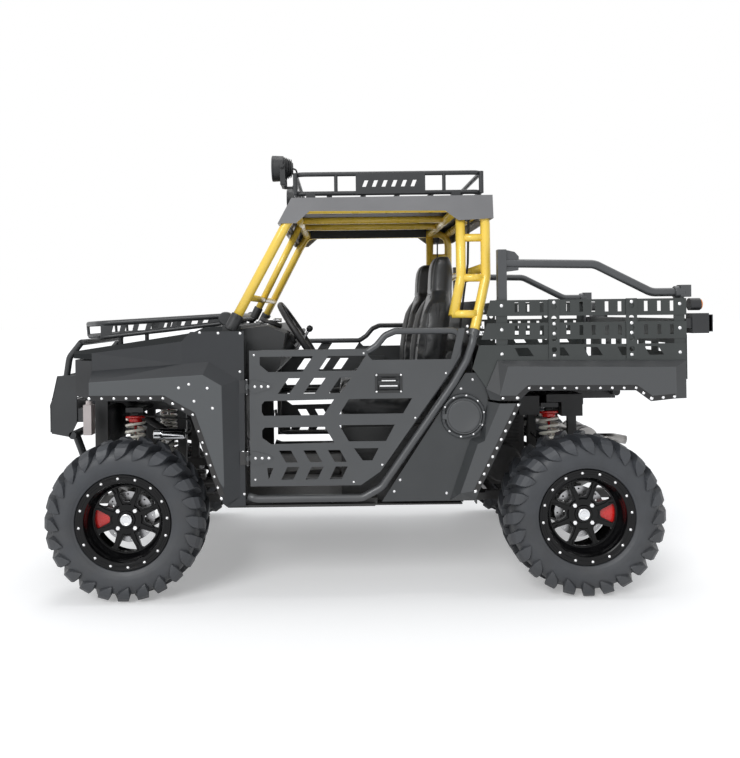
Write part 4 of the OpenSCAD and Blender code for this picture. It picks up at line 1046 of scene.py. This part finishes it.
back = inflated("seat_back", *loft([back_ring(i / 34) for i in range(35)]), 12, lambda p: p.z < 815)
groove(back, BACK_LINES, 7, 7,
       lambda p: (p.x, p.z, (0, 1, 0)) if p.y < 345 + (p.z - 1284) * 0.1 and p.y < 312 + (p.z - 800) * 0.09 else None)
cushion = inflated("seat_cushion", *loft([cushion_ring(i / 26) for i in range(27)]), 10,
                   lambda p: p.z < 745)
groove(cushion, CUSHION_LINES, 6, 7, lambda p: (p.x, p.y, (0, 0, -1)) if p.z > 790 else None)
welts = piping(back, BACK_LINES[:5], lambda a, b: (a, 0, b), (0, 1, 0), 2.6)
welts.merge(piping(cushion, CUSHION_LINES[:2], lambda a, b: (a, b, 1000), (0, 0, -1), 2.6))
# A welt round the outer edge of the wings
for sgn in (-1, 1):
    edge = []
    for i in range(3, 25):
        ring = back_ring(i / 34)
        k = max(range(40), key=lambda j: sgn * ring[j][0] - ring[j][1] * 0.6)
        p = Vector(ring[k])
        hit = BVHTree.FromPolygons([v.co for v in back.data.vertices],
                                   [tuple(q.vertices) for q in back.data.polygons]).find_nearest(p * MM)
        edge.append(hit[0] / MM)
    welts.tube(edge, 2.6, 0, 8)

for sgn, side in ((1, "driver"), (-1, "passenger")):
    for src, what in ((back, "back"), (cushion, "cushion")):
        me = src.data.copy()
        me.transform(Matrix.Translation((sgn * SEAT_X * MM, 0, 0)))
        o = bpy.data.objects.new(f"{side}_seat_{what}", me)
        bpy.context.scene.collection.objects.link(o)
        me.materials.clear()
        me.materials.append(VINYL)
        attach(o, BODY)
        if what == "back":
            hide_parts(side + "_seat")
    s = Shape().merge(welts, Matrix.Translation((sgn * SEAT_X, 0, 0)))
    s.finish(side + "_seat_welts", STITCH, BODY)
    base = Shape()
    cx = sgn * SEAT_X
    base.box((cx - 190, -80, 700.4), (cx + 190, 250, 722))
    for x in (-150, 150):
        base.box((cx + x - 14, -95, 700.4), (cx + x + 14, 280, 712))
    base.prism([(255, 720), (300, 740), (330, 1230), (318, 1232), (285, 860), (240, 760)], cx - 205, cx - 199)
    base.prism([(255, 720), (300, 740), (330, 1230), (318, 1232), (285, 860), (240, 760)], cx + 199, cx + 205)
    base.finish(side + "_seat_shell", PLASTIC, BODY, bevel=2)
for o in (back, cushion):
    bpy.data.objects.remove(o)

# Seat belts: a strap down the pillar to a reel, and a buckle beside each cushion
belts, reels = Shape(), Shape()
for x0 in (1,):
    strap = [(560, 455, 1600), (558, 450, 1400), (552, 420, 1180), (548, 405, 1020)]
    for a, b in zip(strap, strap[1:]):
        m = Vector(b) - Vector(a)
        w = Vector((24, 0, 0))
        t = Vector((0, 1.2, 0))
        belts.add([Vector(a) - w - t, Vector(a) + w - t, Vector(a) + w + t, Vector(a) - w + t,
                   Vector(b) - w - t, Vector(b) + w - t, Vector(b) + w + t, Vector(b) - w + t],
                  [(3, 2, 1, 0), (4, 5, 6, 7), (0, 1, 5, 4), (1, 2, 6, 5), (2, 3, 7, 6), (3, 0, 4, 7)])
    reels.box((520, 385, 950), (580, 398, 1030))
    reels.rod((522, 372, 990), (578, 372, 990), 28, 24, 3)
    reels.box((535, 436, 1585), (585, 462, 1615))
    reels.prism([(180, 700.5), (200, 700.5), (214, 800), (196, 806)], 84, 92)
    reels.box((76, 188, 796), (100, 214, 858))
belts.both().finish("belt_straps", WEBBING, BODY)
reels.both().finish("belt_reels", PLASTIC, BODY, bevel=2.5)


# ------------------------------------------------------------------ steering wheel, dash, levers

centre = Vector((SEAT_X, -297, 1095))
tilt = Matrix.Translation(centre) @ Matrix.Rotation(math.radians(-57), 4, "X")
wheel_rim, metal = Shape(), Shape()
ring = [(0 + 15 * math.cos(a), 160 + 15 * math.sin(a)) for a in (2 * math.pi * i / 20 for i in range(20))]
grip = Shape().lathe(ring, axis=(0, 0, 1), n=96)
for i in range(36):
    a0 = 2 * math.pi * i / 36
    if i % 9 in (0, 1, 2, 3):
        c = Vector((math.cos(a0), math.sin(a0), 0)) * 160
        grip.rod(c - Vector((-c.y, c.x, 0)).normalized() * 1.5, c + Vector((-c.y, c.x, 0)).normalized() * 1.5,
                 15.7, 16)
wheel_rim.merge(grip, tilt)
hub = Shape()
for a in (90, 210, 330):
    r = Matrix.Rotation(math.radians(a), 4, "Z")
    hub.add([r @ Vector(v) for v in ((30, -20, -14), (30, 20, -14), (150, 11, -5), (150, -11, -5),
                                     (30, -20, -4), (30, 20, -4), (150, 11, 4), (150, -11, 4))],
            [(0, 1, 2, 3), (7, 6, 5, 4), (4, 5, 1, 0), (5, 6, 2, 1), (6, 7, 3, 2), (7, 4, 0, 3)])
hub.lathe([(-24, 0), (-24, 40), (-18, 46), (-4, 46), (4, 40), (8, 24), (9, 0)][::-1], axis=(0, 0, 1), n=48)
hub.rod((0, 0, -68), (0, 0, -20), 9, 24)
wheel_rim.merge(hub, tilt)
wheel_rim.finish("steering_wheel_grip", GRIP, "steering_wheel", "grip_black", 2, 2, ["steering_wheel"], 40)

dash = Shape()
dash.lathe([(0, 0), (0, 52), (6, 54), (18, 50), (18, 44), (10, 42), (10, 0)][::-1],
           (SEAT_X, -432, 1142), (0, 0.35, 0.94), 40)
for x in (-80, -40, 0, 40, 80):
    dash.box((x - 13, -352, 1040), (x + 13, -340, 1072), None)
dash.tube([(-180, -352, 1080), (-180, -318, 1095), (-480, -318, 1095), (-480, -352, 1080)], 12, 24, 16)
dash.rod((150, -345, 1010), (150, -325, 1010), 12, 20, 2)
dash.box((-560, -356, 985), (-120, -349, 1050))
dash.finish("dash_fittings", GRIP, BODY, bevel=2.5)
gauge = Shape()
gauge.lathe([(0, 0), (0, 41), (3, 41), (3, 0)][::-1], Vector((SEAT_X, -432, 1142)) + Vector((0, 0.35, 0.94)) * 11,
            (0, 0.35, 0.94), 40)
gauge.finish("gauge_face", GLOSS, BODY)

lever, knobs = Shape(), Shape()
lever.tube([(200, -330, 1010), (200, -290, 1060), (200, -262, 1110)], 7, 30, 12)
lever.tube([(60, -40, 700), (60, -55, 800), (60, -30, 880)], 8, 60, 12)
knobs.lathe([(0, 0), (0, 12), (14, 19), (34, 17), (42, 8), (42, 0)][::-1], (60, -32, 872), (0, 0.25, 1), 24)
knobs.lathe([(0, 0), (0, 8), (8, 15), (22, 15), (30, 8), (30, 0)][::-1], (200, -264, 1104), (0, 0.5, 0.85), 24)
lever.box((250, -560, 480), (330, -552, 560))
lever.box((150, -560, 480), (200, -552, 580))
lever.tube([(290, -556, 560), (290, -580, 640), (290, -585, 700)], 6, 40, 10)
lever.tube([(175, -556, 580), (175, -580, 650), (175, -585, 700)], 6, 40, 10)
lever.finish("levers", STEEL, BODY, bevel=0.6)
knobs.finish("lever_knobs", PLASTIC, BODY)
# Bright adjuster between the dash and the hood's rear edge
bright = Shape()
bright.tube([(330, -484, 1150), (330, -430, 1162), (330, -380, 1160)], 9, 20, 14)
bright.tube([(560, -470, 1080), (560, -430, 1096), (560, -378, 1080)], 10, 20, 14)
bright.finish("dash_brackets", SILVER, BODY)


# ------------------------------------------------------------------ lamps

def roof_lamp(s, glass, ring, bowl, x):
    c = Vector((x, -356, 1836))
    f = (0, -1, 0)
    s.lathe([(-46, 0), (-46, 24), (-40, 30), (-6, 50), (-4, 55), (30, 57), (44, 57), (44, 51), (30, 50), (6, 30),
             (6, 0)][::-1], c, f, 48)
    # Cooling fins on the back
    for k in range(6):
        y = -40 + k * 7
        r = 40 + k * 2.6
        s.lathe([(y, 20), (y, r), (y + 2.6, r), (y + 2.6, 20)][::-1], c, f, 40, False)
    ring.lathe([(38, 50), (38, 57.4), (45, 57.4), (47, 54), (47, 50)][::-1], c, f, 48)
    glass.lathe([(39, 0), (39, 50.5), (42, 50.5), (44, 30), (44.5, 0)][::-1], c, f, 48)
    for j in range(7):
        a = 2 * math.pi * j / 6
        o = Vector((0, 0, 0)) if j == 6 else Vector((math.cos(a), 0, math.sin(a))) * 31
        bowl.lathe([(18, 0), (18, 6), (36, 14), (36, 15.4), (16, 7), (16, 0)][::-1], c + o, f, 20)


lamp_body, lamp_glass, lamp_ring, lamp_bowl = Shape(), Shape(), Shape(), Shape()
roof_lamp(lamp_body, lamp_glass, lamp_ring, lamp_bowl, 480)
for x0, x1 in ((422, 427), (533, 538)):
    lamp_body.prism([(-364, 1756), (-340, 1756), (-344, 1846), (-366, 1846)], x0, x1)
lamp_body.box((422, -362, 1754), (538, -340, 1759))
lamp_body.box((470, -350, 1745), (490, -306, 1755))
lamp_body.rod((480, -306, 1700), (480, -306, 1760), 8, 16)
for x in (419, 541):
    lamp_body.hexbolt((x, -356, 1836), (math.copysign(1, x - 480), 0, 0), 8, 6)
lamp_body.tube([(480, -312, 1836), (480, -296, 1830), (470, -292, 1806), (440, -296, 1795)], 4, 14, 10)
lamp_body.both().finish("roof_lamp_housings", PLASTIC, BODY, "trim_black", 0.8, 2, ["roof_lamps"])
lamp_ring.both().finish("roof_lamp_rings", CHASSIS, BODY)
lamp_bowl.both().finish("roof_lamp_reflectors", REFLECTOR, BODY)
lamp_glass.both().finish("roof_lamp_glass", LENS, BODY, "lamp_lens")

head, head_glass, head_bowl = Shape(), Shape(), Shape()
head.prism([(404, 884), (596, 884), (596, 971), (404, 971)], -1240, -1190, [[(412, 892), (588, 892), (588, 963), (412, 963)]],
           axis=1)
head.box((404, -1196, 884), (596, -1190, 971))
head_glass.prism([(410, 890), (590, 890), (590, 965), (410, 965)], -1243, -1239, axis=1)
for x in (455, 545):
    head_bowl.lathe([(0, 0), (0, 8), (30, 36), (30, 38), (-3, 10), (-3, 0)][::-1], (x, -1204, 927), (0, -1, 0), 32)
head.both().finish("headlight_housings", PLASTIC, BODY, "trim_black", 2, 2, ["headlights"])
head_glass.both().finish("headlight_glass", LENS, BODY, "lamp_lens", 1.5)
head_bowl.both().finish("headlight_reflectors", REFLECTOR, BODY)

tail, amber = Shape(), Shape()
tail.prism([(632, 1094), (684, 1094), (684, 1166), (632, 1166)], 1436.2, 1454, axis=1)
amber.lathe([(0, 0), (0, 22), (6, 22), (10, 16), (11, 0)][::-1], (656, 1410, 1210), (0, 1, 0), 32)
tail.both().finish("tail_lamp_lenses", RED_LENS, "cargo_bed", bevel=3)
amber.both().finish("turn_lamp_lenses", AMBER, "cargo_bed")


# ------------------------------------------------------------------ winch

drum, rope, fairlead = Shape(), Shape(), Shape()
cy, cz = -1380, 745
drum.lathe([(-170, 0), (-170, 34), (-166, 38), (-64, 38), (-60, 34), (-60, 24), (-56, 24), (-56, 36), (-52, 36),
            (-52, 20), (54, 20), (54, 36), (58, 36), (58, 24), (62, 38), (66, 42), (166, 42), (170, 38),
            (170, 0)][::-1], (0, cy, cz), (1, 0, 0), 40)
for k in range(6):
    drum.rod((80 + k * 14, cy, cz), (84 + k * 14, cy, cz), 43.2, 32)
turns = 16
pts = []
for i in range(turns * 16 + 1):
    a = 2 * math.pi * i / 16
    pts.append((-48 + 96 * i / (turns * 16), cy + 24.5 * math.cos(a), cz + 24.5 * math.sin(a)))
rope.tube(pts, 2.9, 0, 8)
rope.finish("winch_rope_turns", ROPE, BODY)
drum.finish("winch_body", CAST, BODY, replaces=["winch"])
for z in (-22, 22):
    fairlead.rod((-70, -1444, cz + z), (70, -1444, cz + z), 8, 20, 1)
for x in (-78, 78):
    fairlead.rod((x, -1444, cz - 26), (x, -1444, cz + 26), 8, 20, 1)
    fairlead.box((x - 10, -1452, cz - 36), (x + 10, -1436, cz - 27))
    fairlead.box((x - 10, -1452, cz + 27), (x + 10, -1436, cz + 36))
fairlead.finish("winch_fairlead", STEEL, BODY, bevel=1.2)


# ------------------------------------------------------------------ radiator, doors, fuel door, underside

fins = Shape()
for k in range(36):
    z = 600 + k * 5.6
    fins.box((-322, -1248.5, z), (322, -1244, z + 1.6))
fins.finish("radiator_fins", CORE, BODY)
frame_bars = Shape()
frame_bars.box((-338, -1250, 584), (-322, -1190, 811)).box((322, -1250, 584), (338, -1190, 811))
frame_bars.tube([(300, -1200, 790), (250, -1150, 800), (190, -1040, 690), (190, -900, 600)], 17, 60, 16)
frame_bars.tube([(-300, -1200, 610), (-250, -1150, 600), (-195, -1040, 560), (-195, -900, 540)], 17, 60, 16)
frame_bars.finish("radiator_frame", PLASTIC, BODY, bevel=1.5)

# Latch: a cup with a paddle and a bright pin, and the door's striker
for sgn, side in ((1, "left"), (-1, "right")):
    latch, pin = Shape(), Shape()
    ring = [[(44, 866), (138, 866), (138, 925), (44, 925)]]
    latch.prism([(34, 856), (148, 856), (148, 935), (34, 935)], 704, 707, ring)
    latch.box((686, 50, 872), (700, 132, 898))
    latch.box((690, 60, 898), (698, 122, 918))
    for y, z in ((40, 861), (142, 861), (40, 930), (142, 930)):
        pin.bolt((707, y, z), (1, 0, 0), 3.2, 2.4, 10)
    pin.box((700, 54, 882), (703, 128, 887))
    pin.box((698, 62, 904), (701, 120, 908))
    for z in (590, 888):
        for y in (-468, -440, -412):
            pin.bolt((707, y, z), (1, 0, 0), 4.6, 3.4, 10)
        pin.rod((710, -500, z - 31), (710, -500, z + 31), 4.2, 16, 1)
    for y, z in ((-470, 1020), (-470, 500), (-60, 486), (60, 556), (200, 750), (330, 935), (-12, 1022)):
        pin.bolt((704, y, z), (1, 0, 0), 3.4, 2.6, 10)
    if sgn < 0:
        latch = Shape().merge(latch, MIRROR, flip=True)
        pin = Shape().merge(pin, MIRROR, flip=True)
    latch.finish(side + "_door_latch", PLASTIC, side + "_door", bevel=1.2)
    pin.finish(side + "_door_pins", SILVER, side + "_door")

fuel = Shape()
fuel.lathe([(0, 0), (0, 66), (3, 68), (5, 64), (2, 56), (1.5, 0)][::-1], (707, 403, 754), (1, 0, 0), 64)
fuel.finish("fuel_door_face", PAINT_LIGHT, "fuel_flap")
fuel_bolts, fuel_ring = Shape(), Shape()
for k in range(10):
    a = math.radians(36 * k + 10)
    fuel_bolts.bolt((697.5, 403 + 86 * math.cos(a), 754 + 86 * math.sin(a)), (1, 0, 0), 3.6, 3, 10)
fuel_ring.lathe([(684, 78), (684, 94), (696, 92), (698, 88), (698, 78)][::-1], (0, 403, 754), (1, 0, 0), 72)
fuel_ring.finish("fuel_door_ring", PAINT, BODY)
fuel_bolts.finish("fuel_door_bolts", SILVER, BODY)

# Under the bed and the cabin: engine dressing, exhaust, drive shaft
eng, pipe = Shape(), Shape()
for k in range(9):
    z = 560 + k * 18
    eng.box((-150, 538, z), (150, 545.5, z + 7))
    eng.box((209.5, 560, z), (217, 740, z + 7))
    eng.box((-217, 560, z), (-209.5, 740, z + 7))
eng.lathe([(0, 0), (0, 84), (10, 92), (34, 92), (42, 84), (46, 40), (46, 0)][::-1], (210, 655, 470), (1, 0, 0), 48)
eng.lathe([(0, 0), (0, 70), (30, 70), (36, 60), (36, 0)][::-1], (-210, 655, 470), (-1, 0, 0), 48)
eng.rod((0, -866, 346), (0, 545, 430), 17, 24, 2)
eng.lathe([(-30, 20), (-30, 34), (30, 34), (30, 20)][::-1], (0, -150, 388.6), (0, 1, 0.0595), 24)
eng.finish("engine_dressing", CAST, BODY, bevel=1.5)
pipe.tube([(120, 765, 640), (120, 830, 660), (60, 960, 620), (40, 1040, 575)], 19, 60, 20)
pipe.tube([(100, 1150, 560), (100, 1230, 560), (100, 1290, 548)], 21, 40, 20)
for x in (-120, -60, 60, 120):
    pipe.lathe([(x, 50), (x, 59.5), (x + 8, 59.5), (x + 8, 50)][::-1], (0, 1086, 560), (1, 0, 0), 48)
pipe.finish("exhaust_pipes", MUFFLER, BODY)

# Black sheets under the roof, across its front and inside its side skirts: a painted shade that stands in for the
# shadow under the roof.
shade_sheets = Shape()
shade_sheets.box((-600, -300, 1668), (600, 540, 1672))
shade_sheets.box((-612, -352, 1588), (612, -342, 1612))
for x in (-569, 566):
    shade_sheets.box((x, -277, 1620), (x + 3, 391, 1667))
shade_sheets.finish("roof_shade_sheets", PLASTIC, BODY, bevel=1)


# ------------------------------------------------------------------ floor, light, camera

def background_rays(nt):
    """1 for rays that show the background: from the camera, off metal or through glass."""
    path = nt.nodes.new("ShaderNodeLightPath")
    value = path.outputs["Is Camera Ray"]
    for ray in ("Is Glossy Ray", "Is Transmission Ray"):
        most = nt.nodes.new("ShaderNodeMath")
        most.operation = "MAXIMUM"
        nt.links.new(value, most.inputs[0])
        nt.links.new(path.outputs[ray], most.inputs[1])
        value = most.outputs[0]
    return value


def floor_material():
    m = bpy.data.materials.new("studio_floor")
    m.use_nodes = True
    nt = m.node_tree
    nt.nodes.clear()
    out = nt.nodes.new("ShaderNodeOutputMaterial")
    diffuse = nt.nodes.new("ShaderNodeBsdfDiffuse")
    diffuse.inputs["Color"].default_value = (0.82, 0.82, 0.82, 1)
    glow = nt.nodes.new("ShaderNodeEmission")
    gain = nt.nodes.new("ShaderNodeMath")
    gain.operation, gain.inputs[1].default_value = "MULTIPLY", 0.3
    nt.links.new(background_rays(nt), gain.inputs[0])
    nt.links.new(gain.outputs[0], glow.inputs["Strength"])
    add = nt.nodes.new("ShaderNodeAddShader")
    nt.links.new(diffuse.outputs[0], add.inputs[0])
    nt.links.new(glow.outputs[0], add.inputs[1])
    nt.links.new(add.outputs[0], out.inputs["Surface"])
    return m


floor_mesh = bpy.data.meshes.new("floor")
floor_mesh.from_pydata([(-60, -60, 0), (60, -60, 0), (60, 60, 0), (-60, 60, 0)], [], [(0, 1, 2, 3)])
floor = bpy.data.objects.new("floor", floor_mesh)
bpy.context.scene.collection.objects.link(floor)
floor.data.materials.append(floor_material())

world = bpy.data.worlds.new("studio")
bpy.context.scene.world = world
world.use_nodes = True
nt = world.node_tree
nt.nodes.clear()
out = nt.nodes.new("ShaderNodeOutputWorld")
soft, plain, mix = (nt.nodes.new(f"ShaderNode{k}") for k in ("Background", "Background", "MixShader"))
soft.inputs["Color"].default_value = (0.93, 0.96, 1.0, 1)
soft.inputs["Strength"].default_value = 0.5
plain.inputs["Color"].default_value = (1, 1, 1, 1)
plain.inputs["Strength"].default_value = 1.0
nt.links.new(background_rays(nt), mix.inputs["Fac"])
nt.links.new(soft.outputs[0], mix.inputs[1])
nt.links.new(plain.outputs[0], mix.inputs[2])
nt.links.new(mix.outputs[0], out.inputs["Surface"])


def sun(name, towards, strength, angle, colour=(1, 1, 1)):
    data = bpy.data.lights.new(name, "SUN")
    data.energy, data.angle, data.color = strength, math.radians(angle), colour
    o = bpy.data.objects.new(name, data)
    o.rotation_euler = Vector(towards).to_track_quat("-Z", "Y").to_euler()
    bpy.context.scene.collection.objects.link(o)


sun("key", (-0.74, 0.36, -0.50), 1.5, 30)
sun("fill", (0.45, -0.30, -0.84), 0.35, 40)
sun("top", (0.08, 0.0, -1.0), 0.7, 25)

camera_data = bpy.data.cameras.new("camera")
camera_data.lens, camera_data.sensor_width = 37.55, 36
camera_data.shift_x, camera_data.shift_y = 0.0369, -0.0884
camera_data.dof.use_dof = False
camera = bpy.data.objects.new("camera", camera_data)
camera.location = (4.0, -0.1, 1.195)
camera.rotation_euler = (Matrix.Rotation(math.radians(90), 4, "Z") @ Matrix.Rotation(math.radians(90), 4, "X")
                         @ Matrix.Rotation(math.radians(-0.7), 4, "Z")).to_euler()
bpy.context.scene.collection.objects.link(camera)
bpy.context.scene.camera = camera
bpy.context.scene.view_settings.view_transform = "Standard"
